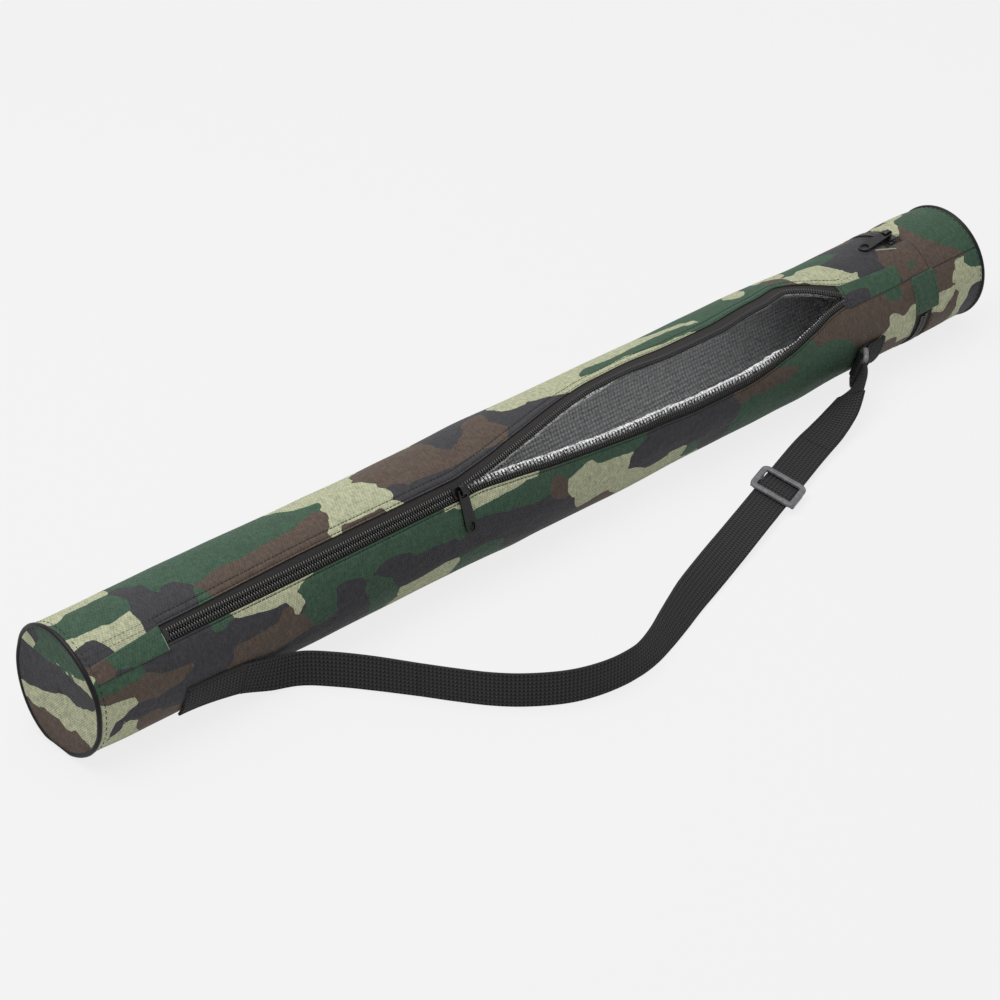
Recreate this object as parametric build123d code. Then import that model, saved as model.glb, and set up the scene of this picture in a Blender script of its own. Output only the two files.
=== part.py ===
"""Tube-shaped insulated cooler bag, lying on its side.

Own frame, millimetres: +X runs along the tube to the zipped end lid, -Y is the front with the long
zip and the shoulder strap, +Z is up. The origin is on the flat resting face, under the tube's axis.
Angles go round the tube: 0 is the front at axis height, 90 the top, 180 the back, 270 the bottom.
"""
from build123d import *
from math import acos, cos, degrees, radians, sin, sqrt
import os

# tube
half_length = 408.0
radius = 43.5
rest_width = 24.0          # flat face that the tube lies on
shell_t = 0.8
foam_t = 4.3
liner_t = 0.4
disc_foam_t = 4.0
fold_clear = 0.3           # between soft pieces on different bodies
piping_r = 2.1
piping_inset = 1.6

# long zip and the mouth that stands open, by their distances from one another
zip_angle = 43.0
near_tab_len = 57.0        # from the closed end to the zip
far_tab_len = 60.5         # from the zip to the hinge patch
slider_x = -114.0
mouth_lag = 7.0            # from the slider's middle to the first open tooth
mouth_stay = 5.0           # closed teeth left before the far stop
ramp_near = 125.0
ramp_far = 50.0
upper_open = 31.5          # degrees that each lip stands away from the zip line
lower_open = 13.5
upper_hem = 12.0           # folded edges of the camouflage panel, degrees from each half's edge
lower_hem = 9.5
tape_shift = 16.0
foam_shift = 17.0
tape_t = 0.6
coil_w = 4.4               # degrees
coil_t = 1.4
coil_gap = 0.1             # degrees from the zip line to each half
binding_w = 2.0            # degrees
stop_len = 3.0
tab_t = 0.6                # cloth patches sewn on the shell
near_tab = (30.0, 55.0)
far_tab = (35.5, 58.0)

# end lid, its zip and its cloth hinge
lid_len = 59.0
lid_gap = 19.0             # between the two cloth edges, filled by the zip
tape_tuck = 3.0
end_zip_start = 79.0
end_zip_stop = 355.0
end_coil_w = 3.4
end_coil_gap = 0.25
patch_reach = 17.0
patch_from = -4.0
patch_to = 77.0

# sliders and their pull tabs
end_slider_angle = 88.0
slider_len = 12.5
slider_w = 8.0
slider_t = 1.2
slider_clear = 0.5
bridge_w = 3.2
bridge_span = 6.4
bridge_wall = 1.1
pin_r = 0.7
pin_clear = 0.1
pin_height = 2.4           # above the slider's top plate
pull_root_w = 7.4
pull_w = 9.0               # at the rounded end
pull_t = 1.2
pull_len = 30.0
pull_window_len = 5.0
pull_window_w = 4.6
pull_hole_w = 5.6
pull_hole_len = 6.6
pull_rim = 1.7             # left round the hole

# shoulder strap
webbing_w = 25.4
webbing_t = 1.5
sewn_inset = 58.0          # from the closed end to the strap's sewn end
sewn_len = 47.0
sewn_angle = -24.7
layer_gap = 0.2
ring_inset = 63.0          # from the body's edge back to the ring
ring_angle = -21.0
bar_r = 1.9
bar_clear = 0.1
loop_t = 1.2
anchor_len = 25.0
ring_span = 11.0
ring_slack = 5.6           # inside length of the ring beyond the webbing's width
ring_corner = 2.6
ring_lean = 45.0           # from the tube's surface, towards the strap
glide_len = 27.0
glide_slack = 1.2          # inside width beyond the webbing's
glide_side = 3.2
glide_bar = 4.0
glide_t = 2.2
glide_at = 0.5             # along the strap's straight run

# strap's line from the sewn end to the ring: x, distance out from the tube's side, lift off the
# ground, twist from flat
strap_line = [
    (-292.0, -0.5, 4.0, 103.0), (-280.0, 0.5, 0.0, 92.0), (-262.0, 8.5, 0.0, 90.0),
    (-247.0, 24.0, 0.0, 90.0), (-232.0, 41.0, 0.0, 90.0), (-215.0, 64.5, 0.0, 90.0),
    (-202.0, 83.5, 0.0, 90.0), (-189.0, 101.0, 0.0, 90.0), (-175.0, 115.5, 0.0, 90.0),
    (-156.0, 129.5, 0.0, 90.0), (-140.0, 137.0, 0.0, 90.0), (-121.0, 141.5, 0.0, 90.0),
    (-101.0, 142.0, 0.0, 87.0), (-82.0, 137.5, 0.0, 76.0), (-60.0, 128.5, 0.0, 64.0),
    (-42.0, 120.5, 0.0, 56.0), (-22.0, 111.5, 0.0, 48.0), (5.0, 101.0, 0.5, 38.0),
    (25.0, 93.5, 1.5, 30.0), (45.0, 86.3, 3.0, 22.0), (73.0, 76.1, 4.0, 17.6),
    (159.0, 44.8, 4.0, 17.6), (180.0, 37.5, 5.0, 12.0), (200.0, 31.5, 7.5, 3.0),
    (222.0, 24.5, 8.5, -14.0), (240.0, 17.0, 8.5, -38.0),
]
straight_from = 20         # index of the station where the tri-glide's straight run starts

axis_z = sqrt(radius ** 2 - (rest_width / 2) ** 2)
foam_r = radius - shell_t
liner_r = foam_r - foam_t
bore_r = liner_r - liner_t
tape_r = foam_r - tape_t
coil_r = foam_r + coil_t
body_edge = half_length - lid_len - lid_gap
lid_edge = half_length - lid_len
lid_zip_x = (body_edge + lid_edge) / 2
zip_start = near_tab_len - half_length
zip_end = lid_zip_x - patch_reach - far_tab_len
mouth_start = slider_x + mouth_lag
mouth_end = zip_end - mouth_stay
plateau = (mouth_start + ramp_near, mouth_end - ramp_far)
wall_end = half_length - shell_t - disc_foam_t
piping_reach = piping_inset + piping_r
plate_r = coil_r + slider_clear + slider_t
pin_at = plate_r + pin_height
sewn_from = sewn_inset - half_length
sewn_to = sewn_from + sewn_len
ring_x = body_edge - ring_inset


def outward(angle):
    return Vector(0, -cos(radians(angle)), sin(radians(angle)))


def around(angle):
    return Vector(0, sin(radians(angle)), cos(radians(angle)))


def on_tube(x, angle, r):
    return Vector(x, 0, axis_z) + outward(angle) * r


def standing(shape, floor):
    """What lies above a level."""
    reach = 2 * (half_length + radius)
    return shape & Pos(0, 0, floor) * Box(reach, reach, reach, align=(Align.CENTER, Align.CENTER, Align.MIN))


def rod(r, x0, x1):
    return Pos(x0, 0, axis_z) * Rot(0, 90, 0) * Cylinder(
        r, x1 - x0, align=(Align.CENTER, Align.CENTER, Align.MIN))


def layer(x0, x1, r_out, t, floor):
    """One layer of the flattened tube wall."""
    return standing(rod(r_out, x0, x1), floor) - standing(rod(r_out - t, x0, x1), floor + t)


def sector(x0, x1, a0, a1, r0, r1):
    """Curved plate between two angles and two radii."""
    outer = CenterArc((0, 0), r1, a0, a1 - a0)
    inner = CenterArc((0, 0), r0, a0, a1 - a0)
    face = make_face([outer, Line(outer @ 1, inner @ 1), inner, Line(inner @ 0, outer @ 0)])
    section = Plane(origin=(x0, 0, axis_z), x_dir=(0, -1, 0), z_dir=(-1, 0, 0))
    return extrude(section * face, amount=x1 - x0, dir=(1, 0, 0))


def group(*solids):
    return Compound(children=[s for item in solids for s in item.solids()])


# mouth edges, drawn flat across the zip line and cut through the wall
def smoothstep(t):
    t = min(max(t, 0.0), 1.0)
    return t * t * (3 - 2 * t)


def lip_angle(x, side):
    rise = smoothstep((x - mouth_start) / ramp_near) * smoothstep((mouth_end - x) / ramp_far)
    return zip_angle + (upper_open if side > 0 else -lower_open) * rise


def lip_edge(side, shift, x0, x1):
    """Edges of a line that keeps a number of degrees from a lip, in the zip's plane."""
    def place(x):
        return x, radius * sin(radians(lip_angle(x, side) + side * shift - zip_angle))
    stops = [x0] + [x for x in (mouth_start, *plateau, mouth_end) if x0 < x < x1] + [x1]
    edges = []
    for a, b in zip(stops, stops[1:]):
        if abs(place(a)[1] - place(b)[1]) < 1e-6:
            edges.append(Line(place(a), place(b)))
        else:
            knots = [place(a + (b - a) * i / 6) for i in range(7)]
            edges.append(Spline(*knots))
    return edges


def zip_prism(upper, lower, x0, x1):
    """Cutter through the front wall, between two lines given as (side, shift)."""
    top, low = lip_edge(*upper, x0, x1), lip_edge(*lower, x0, x1)
    sides = [Line(low[0] @ 0, top[0] @ 0), Line(low[-1] @ 1, top[-1] @ 1)]
    face = make_face(top + low + sides)
    front = Plane(origin=(0, 0, axis_z), x_dir=(1, 0, 0), z_dir=outward(zip_angle))
    return extrude(front.offset(radius / 3) * face, amount=radius)


def lip_strip(side, near, far, r0, r1, x0, x1):
    """Strip that follows a lip, between two shifts and two radii."""
    bounds = ((side, far), (side, near)) if side > 0 else ((side, near), (side, far))
    wall = rod(r1, x0, x1) - rod(r0, x0, x1)
    return wall & zip_prism(*bounds, x0, x1)


# tube wall
def body_shell():
    mouth = zip_prism((1, upper_hem), (-1, lower_hem), zip_start, zip_end)
    return layer(-half_length, body_edge, radius, shell_t, 0) - mouth


def foam_wall(x0, x1):
    return standing(rod(foam_r, x0, x1), shell_t) - rod(liner_r, x0, x1)


def liner_wall(x0, x1):
    return rod(liner_r, x0, x1) - rod(bore_r, x0, x1)


def body_foam(x0, x1):
    """One of the foam sheets laid end to end in the body's wall."""
    mouth = zip_prism((1, foam_shift), (-1, foam_shift), zip_start, zip_end)
    return foam_wall(x0, x1) - mouth


def body_liner():
    mouth = zip_prism((1, binding_w), (-1, binding_w), mouth_start, mouth_end)
    return liner_wall(-wall_end, body_edge - tape_tuck) - mouth


def end_disc(x, inward):
    """Cloth, foam and liner discs of one end, from the outside in."""
    levels = [0, shell_t, shell_t + disc_foam_t, shell_t + disc_foam_t + liner_t]
    radii = [foam_r, foam_r, bore_r]
    floors = [shell_t, shell_t, 0]
    discs = []
    for start, stop, r, floor in zip(levels, levels[1:], radii, floors):
        a, b = sorted((x + inward * start, x + inward * stop))
        discs.append(standing(rod(r, a, b), floor))
    return discs


def piping(x, inward):
    cord = Pos(x + inward * piping_inset, 0, axis_z) * Rot(0, 90, 0) * Torus(foam_r, piping_r)
    a, b = sorted((x, x + inward * 2 * piping_reach))
    return standing(cord - rod(radius, a, b), 0)


def zip_tape(side, x0, x1):
    return lip_strip(side, coil_gap, tape_shift, tape_r, foam_r, x0, x1)


def zip_coil(side, x0, x1):
    return lip_strip(side, coil_gap, coil_gap + coil_w, foam_r, coil_r, x0, x1)


def lip_binding(side, x0, x1):
    return lip_strip(side, coil_gap, binding_w, liner_r, tape_r, x0, x1)


def ramps(make, side, x0, x1):
    """The two stretches of a lip that lead to its free middle."""
    gap = fold_clear
    return group(make(side, x0, plateau[0] - gap), make(side, plateau[1] + gap, x1))


def zip_stops():
    spans = [(zip_start, zip_start + stop_len), (zip_end - stop_len, zip_end)]
    half = coil_gap + coil_w
    return group(*[sector(a, b, zip_angle - half, zip_angle + half, foam_r, coil_r) for a, b in spans])


# end lid, drawn closed
def end_tape(x0, x1):
    ring = layer(x0, x1, foam_r, tape_t, shell_t)
    return ring & sector(x0, x1, end_zip_start, end_zip_stop, radius / 2, 2 * radius)


def end_coil(x0, x1):
    ring = standing(rod(coil_r, x0, x1), 0) - standing(rod(foam_r, x0, x1), shell_t)
    return ring & sector(x0, x1, end_zip_start, end_zip_stop, radius / 2, 2 * radius)


def hinge_patch():
    r0 = radius + fold_clear
    return sector(lid_zip_x - patch_reach, lid_zip_x + patch_reach, patch_from, patch_to, r0, r0 + tab_t)


# sliders, drawn flat: x along the zip, z away from the bag, the pull towards +y from its pin
def slider_body():
    plate = Pos(0, 0, -pin_height) * Box(
        slider_len, slider_w, slider_t, align=(Align.CENTER, Align.CENTER, Align.MAX))
    plate = fillet(plate.edges().filter_by(Axis.Z), slider_w / 4)
    height = pin_height + pin_r + pin_clear + bridge_wall
    arch = Pos(0, 0, -pin_height) * Box(
        bridge_w, bridge_span, height, align=(Align.CENTER, Align.CENTER, Align.MIN))
    arch = chamfer(arch.edges().filter_by(Axis.X).sort_by(Axis.Z)[-2:], bridge_wall)
    eye = Box(2 * bridge_w, bridge_span - 2 * bridge_wall, 2 * (pin_r + pin_clear))
    return plate + (arch - eye)


def pull_tab():
    end_y = pull_len - pull_w / 2
    blade = make_face(Polyline((-pull_root_w / 2, -pin_r), (pull_root_w / 2, -pin_r),
                               (pull_w / 2, end_y), (-pull_w / 2, end_y), close=True))
    hole_y = pull_len - pull_rim - pull_hole_len / 2
    hole = Pos(0, hole_y) * SlotOverall(pull_hole_len, pull_hole_w, rotation=90)
    outline = blade + Pos(0, end_y) * Circle(pull_w / 2) - hole
    outline -= Rectangle(pull_window_w, 2 * pull_window_len)
    bar = Rot(0, 90, 0) * Cylinder(pin_r, pull_root_w)
    return extrude(outline, pull_t / 2, both=True) + bar


def slider_seat(x, angle, along):
    return Plane(origin=on_tube(x, angle, pin_at), x_dir=along, z_dir=outward(angle)).location


def main_pull():
    """Hangs down the front, its end touching the shell."""
    dip = degrees(acos((radius + fold_clear + pull_t / 2) / pin_at))
    return slider_seat(slider_x, zip_angle, (1, 0, 0)) * Rot(0, 0, 180) * Rot(-dip, 0, 0) * pull_tab()


def end_pull():
    """Lies along the top of the tube."""
    dip = degrees((pin_at - radius - fold_clear - pull_t / 2) / pull_len)
    seat = slider_seat(lid_zip_x, end_slider_angle, around(end_slider_angle))
    return seat * Rot(-dip, 0, 0) * pull_tab()


# shoulder strap
def band_section(centre, along, side, t, w=webbing_w):
    """Cross-section of the webbing: side is the direction of its width."""
    return Plane(origin=centre, x_dir=side, z_dir=along) * Rectangle(w, t)


def strap_stations():
    """Centre, direction and width direction of the webbing at each station."""
    places = []
    for x, reach, lift, twist in strap_line:
        tilt = radians(twist)
        rise = webbing_w / 2 * abs(sin(tilt)) + webbing_t / 2 * abs(cos(tilt))
        places.append((Vector(x, -radius - reach, lift + rise), tilt))
    start = on_tube(sewn_to + fold_clear, sewn_angle, radius + 2 * fold_clear + webbing_t / 2)
    stations = [(start, Vector(1, 0, 0), around(sewn_angle))]
    straight = (straight_from, straight_from + 1)
    for i, (centre, tilt) in enumerate(places):
        before, after = (i - 1, min(i + 1, len(places) - 1)) if i not in straight else straight
        span = places[after][0] - (places[before][0] if before >= 0 else start)
        along = span.normalized()
        left = Vector(0, 0, 1).cross(along).normalized()
        stations.append((centre, along, left * cos(tilt) + along.cross(left) * sin(tilt)))
    return stations


def band(stations, shift, t):
    """Webbing through stations, moved off the strap's middle by shift."""
    sections = []
    for centre, along, side in stations:
        face = along.cross(side).normalized()
        sections.append(band_section(centre + face * shift, along, side, t))
    return loft(sections, ruled=True)


def strap_sewn_end():
    half = degrees(webbing_w / 2 / radius)
    return sector(sewn_from, sewn_to, sewn_angle - half, sewn_angle + half, radius, radius + webbing_t)


def ring_bars():
    """Centres of the ring's bars in the sewn loop and in the strap's loop, and the way between."""
    first = on_tube(ring_x, ring_angle, radius + fold_clear + bar_r + bar_clear + loop_t)
    lean = Vector(-1, 0, 0) * cos(radians(ring_lean)) + outward(ring_angle) * sin(radians(ring_lean))
    return first, first + lean * ring_span, lean


def rectangular_ring():
    first, second, lean = ring_bars()
    flat = Plane(origin=(first + second) * 0.5, x_dir=lean, z_dir=lean.cross(around(ring_angle)))
    wire = (flat * RectangleRounded(ring_span, webbing_w + ring_slack, ring_corner)).wire()
    return sweep(Plane(origin=wire @ 0, z_dir=wire % 0) * Circle(bar_r), path=wire)


def sleeve(centre, lean):
    """Webbing folded round a bar, and the hole that the bar leaves."""
    plane = Plane(origin=centre, x_dir=lean, z_dir=around(ring_angle))
    hole_r = bar_r + bar_clear
    return plane * Cylinder(hole_r + loop_t, webbing_w), plane * Cylinder(hole_r, 2 * webbing_w)


def ring_tab():
    first, second, lean = ring_bars()
    half = degrees(webbing_w / 2 / radius)
    tongue = sector(ring_x + bar_r, ring_x + anchor_len, ring_angle - half, ring_angle + half,
                    radius, radius + 2 * webbing_t)
    tube, hole = sleeve(first, lean)
    return tongue + tube - hole


def strap_ring_loop():
    first, second, lean = ring_bars()
    end, along, side = strap_stations()[-1]
    seam = second + lean * (bar_r + bar_clear + loop_t / 2)
    turned = around(ring_angle) * -1
    stub = loft([band_section(end + along * fold_clear, along, side, 2 * webbing_t),
                 band_section(seam, lean * -1, turned, 2 * webbing_t, webbing_w - 2 * fold_clear)],
                ruled=True)
    tube, hole = sleeve(second, lean)
    return tube + stub - hole


def glide_seat():
    """Middle of the tri-glide's straight run, as a plane: x along the strap, z off its face."""
    stations = strap_stations()
    a, b = stations[straight_from + 1], stations[straight_from + 2]
    centre = a[0] + (b[0] - a[0]) * glide_at
    return Plane(origin=centre, x_dir=(b[0] - a[0]).normalized(), z_dir=a[1].cross(a[2]))


def tri_glide():
    """Two outer bars over the strap and a middle bar under it, between two side rails."""
    over = webbing_t / 2 + fold_clear
    inner_w = webbing_w + glide_slack
    frame = Box(glide_len, inner_w + 2 * glide_side, 2 * (over + glide_t))
    frame = fillet(frame.edges().filter_by(Axis.Z), glide_side)
    gaps = Box(glide_len - 2 * glide_bar, inner_w, glide_len)
    under = Pos(0, 0, over) * Box(2 * glide_len, inner_w, glide_len,
                                  align=(Align.CENTER, Align.CENTER, Align.MAX))
    middle = Pos(0, 0, -over) * Box(glide_bar, inner_w + glide_side, glide_t,
                                    align=(Align.CENTER, Align.CENTER, Align.MAX))
    return glide_seat().location * (frame - gaps - under + middle)


def strap_return():
    """Second layer, from the ring back to the tri-glide's middle bar."""
    stations = strap_stations()
    seat = glide_seat()
    a = stations[straight_from + 1]
    start = (seat.origin + seat.x_dir * (glide_bar / 2 + fold_clear), a[1], a[2])
    return band([start] + stations[straight_from + 2:], -(webbing_t + layer_gap), webbing_t)


def save(parts):
    os.makedirs("parts", exist_ok=True)
    for name, shape in parts.items():
        export_step(shape, f"parts/{name}.step")


near_discs = end_disc(-half_length, 1)
far_discs = end_disc(half_length, -1)
parts = {
    "body_shell": body_shell(),
    "near_foam": body_foam(-wall_end, mouth_start),
    "ramp_foam": body_foam(mouth_start, plateau[0]),
    "mouth_foam": body_foam(*plateau),
    "far_foam": body_foam(plateau[1], body_edge - tape_tuck),
    "body_liner": body_liner(),
    "near_disc": near_discs[0],
    "near_disc_foam": near_discs[1],
    "near_disc_liner": near_discs[2],
    "near_piping": piping(-half_length, 1),
    "near_zip_tab": sector(-half_length + piping_reach, zip_start, *near_tab, radius, radius + tab_t),
    "far_zip_tab": sector(zip_end, lid_zip_x - patch_reach, *far_tab, radius, radius + tab_t),
    "zip_tape_upper": zip_tape(1, zip_start, mouth_start),
    "zip_tape_lower": zip_tape(-1, zip_start, mouth_start),
    "zip_coil_upper": zip_coil(1, zip_start + stop_len, mouth_start),
    "zip_coil_lower": zip_coil(-1, zip_start + stop_len, mouth_start),
    "zip_stops": zip_stops(),
    "main_slider": slider_seat(slider_x, zip_angle, (1, 0, 0)) * slider_body(),
    "main_pull": main_pull(),
    "end_tape_body": end_tape(body_edge - tape_tuck, lid_zip_x - end_coil_gap),
    "end_coil_body": end_coil(lid_zip_x - end_coil_gap - end_coil_w, lid_zip_x - end_coil_gap),
    "end_tape_lid": end_tape(lid_zip_x + end_coil_gap, lid_edge + tape_tuck),
    "end_coil_lid": end_coil(lid_zip_x + end_coil_gap, lid_zip_x + end_coil_gap + end_coil_w),
    "end_slider": slider_seat(lid_zip_x, end_slider_angle, around(end_slider_angle)) * slider_body(),
    "end_pull": end_pull(),
    "hinge_patch": hinge_patch(),
    "lid_shell": layer(lid_edge, half_length, radius, shell_t, 0),
    "lid_foam": foam_wall(lid_edge + tape_tuck, wall_end),
    "lid_liner": liner_wall(lid_edge + tape_tuck, wall_end),
    "lid_disc": far_discs[0],
    "lid_disc_foam": far_discs[1],
    "lid_disc_liner": far_discs[2],
    "lid_piping": piping(half_length, -1),
    "strap_sewn_end": strap_sewn_end(),
    "strap_webbing": band(strap_stations(), 0, webbing_t),
    "strap_return": strap_return(),
    "strap_ring_loop": strap_ring_loop(),
    "tri_glide": tri_glide(),
    "rectangular_ring": rectangular_ring(),
    "ring_tab": ring_tab(),
}
for side, word in ((1, "upper"), (-1, "lower")):
    parts[f"mouth_tape_{word}"] = ramps(zip_tape, side, mouth_start, zip_end)
    parts[f"mouth_coil_{word}"] = ramps(zip_coil, side, mouth_start, zip_end - stop_len)
    parts[f"mouth_binding_{word}"] = ramps(lip_binding, side, mouth_start, mouth_end)
    parts[f"{word}_lip_tape"] = zip_tape(side, *plateau)
    parts[f"{word}_lip_coil"] = zip_coil(side, *plateau)
    parts[f"{word}_lip_binding"] = lip_binding(side, *plateau)
save(parts)
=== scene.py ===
import bmesh
import bpy
import math
from mathutils import Matrix, Vector, noise


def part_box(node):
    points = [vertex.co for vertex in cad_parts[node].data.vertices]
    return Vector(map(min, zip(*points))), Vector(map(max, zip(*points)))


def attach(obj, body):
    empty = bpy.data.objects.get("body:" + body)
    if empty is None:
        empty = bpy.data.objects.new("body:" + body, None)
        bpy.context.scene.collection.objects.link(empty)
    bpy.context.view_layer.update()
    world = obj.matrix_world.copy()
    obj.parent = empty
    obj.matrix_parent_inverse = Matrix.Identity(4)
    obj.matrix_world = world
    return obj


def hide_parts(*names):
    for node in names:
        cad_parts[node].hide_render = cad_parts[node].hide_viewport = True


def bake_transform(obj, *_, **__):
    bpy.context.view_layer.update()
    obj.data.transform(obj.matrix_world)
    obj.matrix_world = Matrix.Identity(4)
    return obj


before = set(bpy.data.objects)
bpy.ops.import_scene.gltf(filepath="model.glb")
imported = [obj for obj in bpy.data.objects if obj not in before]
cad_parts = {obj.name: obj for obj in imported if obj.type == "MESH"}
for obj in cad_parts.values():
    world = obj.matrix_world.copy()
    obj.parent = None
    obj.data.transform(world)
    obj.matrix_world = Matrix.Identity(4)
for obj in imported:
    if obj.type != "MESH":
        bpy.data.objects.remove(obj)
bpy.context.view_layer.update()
mm = 0.001  # everything below is in millimetres and degrees until it reaches a mesh


def spanOf(node):
    low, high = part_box(node)
    return [c / mm for c in low], [c / mm for c in high]


def smooth(t):
    t = min(max(t, 0.0), 1.0)
    return t * t * (3 - 2 * t)


def mix(a, b, t):
    return a + (b - a) * t


def evenly(start, stop, pitch):
    count = max(1, round(abs(stop - start) / pitch))
    return [mix(start, stop, i / count) for i in range(count + 1)]


# the tube, from the frame's own parts
shellLow, shellHigh = spanOf("body_shell")
lidLow, lidHigh = spanOf("lid_shell")
zipLow, zipHigh = spanOf("zip_stops")
sliderLow, sliderHigh = spanOf("main_slider")
tube = {
    "radius": (shellHigh[1] - shellLow[1]) / 2,
    "start": shellLow[0],
    "edge": shellHigh[0],
    "lidEdge": lidLow[0],
    "end": lidHigh[0],
    "cloth": 0.8,
    "bore": 38.1,
    "underside": 230,  # where the upper and lower halves of the wall meet
}
tube["axis"] = shellHigh[2] - tube["radius"]
tube["lidZip"] = (tube["edge"] + tube["lidEdge"]) / 2
zipLine = {
    "angle": 43.0,
    "start": zipLow[0],
    "end": zipHigh[0] + 8,  # its last stretch lies under the far tab
    "mouth": ((sliderLow[0] + sliderHigh[0]) / 2 + 0.5, zipHigh[0] + 6),
    "slider": (sliderLow[0] + sliderHigh[0]) / 2,
}
zipLine["sway"] = [  # where the open zip lies off its straight line: (x, degrees)
    (zipLine["mouth"][0], 0.0), (-98, 1.0), (-70, -0.6), (-36, -2.8), (5, -3.2), (54, -2.6), (98, -6.4),
    (143, -6.6), (192, -1.8), (221, 2.0), (243, 6.2), (257, 6.4),
    (zipLine["mouth"][1], 3.4), (zipLine["end"], 2.4),
]
hemDrift = {  # where the hem lies further from the teeth or nearer: (x, over, degrees)
    "near": (-230, 120, -2.4),
    "mouth": (30, 70, 2.4),
    "below": (10, 190, 50, 1.6),
}


def outward(angle):
    a = math.radians(angle)
    return Vector((0, -math.cos(a), math.sin(a)))


def around(angle):
    a = math.radians(angle)
    return Vector((0, math.sin(a), math.cos(a)))


# how the two lips open: each side turns about the tube's axis by its own angle
lips = {
    "upper": {
        "side": 1, "body": "upper_lip", "turn": 31.5, "hem": 12.0,
        "pivot": 95.0, "still": 20.0, "wide": (36.0, 218.0)},
    "lower": {
        "side": -1, "body": "lower_lip", "turn": -13.5, "hem": 6.8,
        "pivot": 9.75, "still": 19.75, "wide": (50.0, 174.0)},
}
for lip in lips.values():
    opened = abs(lip["pivot"] - zipLine["angle"] - lip["turn"])
    lip["zero"] = math.sin(math.radians(lip["still"]))
    lip["full"] = math.sin(math.radians(opened)) + lip["zero"]


def pull(lip, angle):
    lean = math.radians(lip["side"] * (lip["pivot"] - angle))
    return (math.sin(lean) + lip["zero"]) / lip["full"]


for lip in lips.values():
    shut = pull(lip, zipLine["angle"])
    lip["ramps"] = [(abs(zipLine["mouth"][i] - lip["wide"][i])) / shut for i in (0, 1)]


def share(lip, x, angle):
    short = (lip["wide"][0] - x) / lip["ramps"][0]
    long = (x - lip["wide"][1]) / lip["ramps"][1]
    return smooth(pull(lip, angle) - max(short, long, 0.0))


def sway(x):
    for (low, first), (high, last) in zip(zipLine["sway"], zipLine["sway"][1:]):
        if low < x <= high:
            return mix(first, last, smooth((x - low) / (high - low)))
    return 0.0


def hemShift(lip, x):
    if lip["side"] > 0:
        (nearX, nearOver, nearBy), (mouthX, mouthOver, mouthBy) = hemDrift["near"], hemDrift["mouth"]
        return lip["hem"] + nearBy * smooth((nearX - x) / nearOver) + mouthBy * smooth((x - mouthX) / mouthOver)
    low, high, over, by = hemDrift["below"]
    return lip["hem"] + by * smooth((x - low) / over) * smooth((high - x) / over)


lipCache = {}


def lipAngle(lip, x):
    key = (lip["side"], round(x, 3))
    if key not in lipCache:
        shut = zipLine["angle"] + sway(x)
        still, opened = shut, shut + lip["turn"]
        if not zipLine["mouth"][0] < x < zipLine["mouth"][1]:
            opened = still
        for _ in range(40 if opened != still else 0):
            middle = (still + opened) / 2
            if (shut + lip["turn"] * share(lip, x, middle) - middle) * lip["side"] > 0:
                still = middle
            else:
                opened = middle
        lipCache[key] = (still + opened) / 2
    return lipCache[key]


# gentle unevenness of the cloth over its foam
lay = {
    "long": (75.0, 1.1, 0.9),  # length in mm, lobes, height in mm
    "short": (27.0, 2.6, 0.3),
    "upperSwell": 2.2,
    "lowerSwell": 1.2,
    "swellWidth": 16.0,
    "swellRamp": 60.0,
    "calm": 0.35,  # share of a calm spot that stays quite even
    "ends": (6.0, 34.0),  # the cloth is even at each end, from this far beyond it and over this length
    "innerLift": 3.0,  # most that an inner layer is lifted where the tube rests on the floor
}
dents = [  # (x, angle, reach along, reach round, height): where the wall is pressed flat or pushed out
    (-412, -150, 60, 46, -3.2),
    (-412, -86, 26, 44, -2.4),
    (412, -92, 26, 40, -1.2),
    (-412, -8, 45, 22, -1.6),
    (-412, 60, 40, 26, -1.2),
    (376, 102, 20, 44, 1.9),
    (351, 100, 7, 60, -0.9),
]
endLean = {"from": -384.0, "over": 24.0, "down": 4.6, "back": 1.6}  # the near end leans out at its foot
calmSpots = [
    (zipLine["slider"], zipLine["angle"], 26, 24),
    (267.0, -21.0, 34, 34),
    (-326.0, -24.7, 40, 30),
    (tube["lidZip"], 88.0, 24, 30),
]


def apart(a, b):
    return abs((a - b + 180) % 360 - 180)


def swell(x, angle):
    height = 0.0
    for lip, most in ((lips["upper"], lay["upperSwell"]), (lips["lower"], lay["lowerSwell"])):
        reach = min(x - zipLine["mouth"][0], zipLine["mouth"][1] - x)
        if reach > 0:
            beyond = lip["side"] * ((angle + 140) % 360 - 140 - lipAngle(lip, x))
            beyond = max(beyond, 0.0) / lay["swellWidth"]
            height += most * smooth(reach / lay["swellRamp"]) * math.exp(-beyond * beyond)
    return height


def ripple(x, angle):
    a = math.radians(angle)
    height = 0.0
    for i, (length, lobes, size) in enumerate((lay["long"], lay["short"])):
        place = Vector((x / length + 7.3 * i, lobes * math.cos(a), lobes * math.sin(a) + 3.1 * i))
        height += size * noise.noise(place)
    for spotX, spotAngle, reachX, reachAngle in calmSpots:
        far = math.hypot((x - spotX) / reachX, apart(angle, spotAngle) / reachAngle)
        height *= smooth(far - lay["calm"])
    beyond, over = lay["ends"]
    height *= smooth((x - tube["start"] + beyond) / over) * smooth((tube["end"] + beyond - x) / over)
    for spotX, spotAngle, reachX, reachAngle, depth in dents:
        far = math.hypot((x - spotX) / reachX, apart(angle, spotAngle) / reachAngle)
        height += depth * math.exp(-far * far)
    return height + swell(x, angle)


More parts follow.
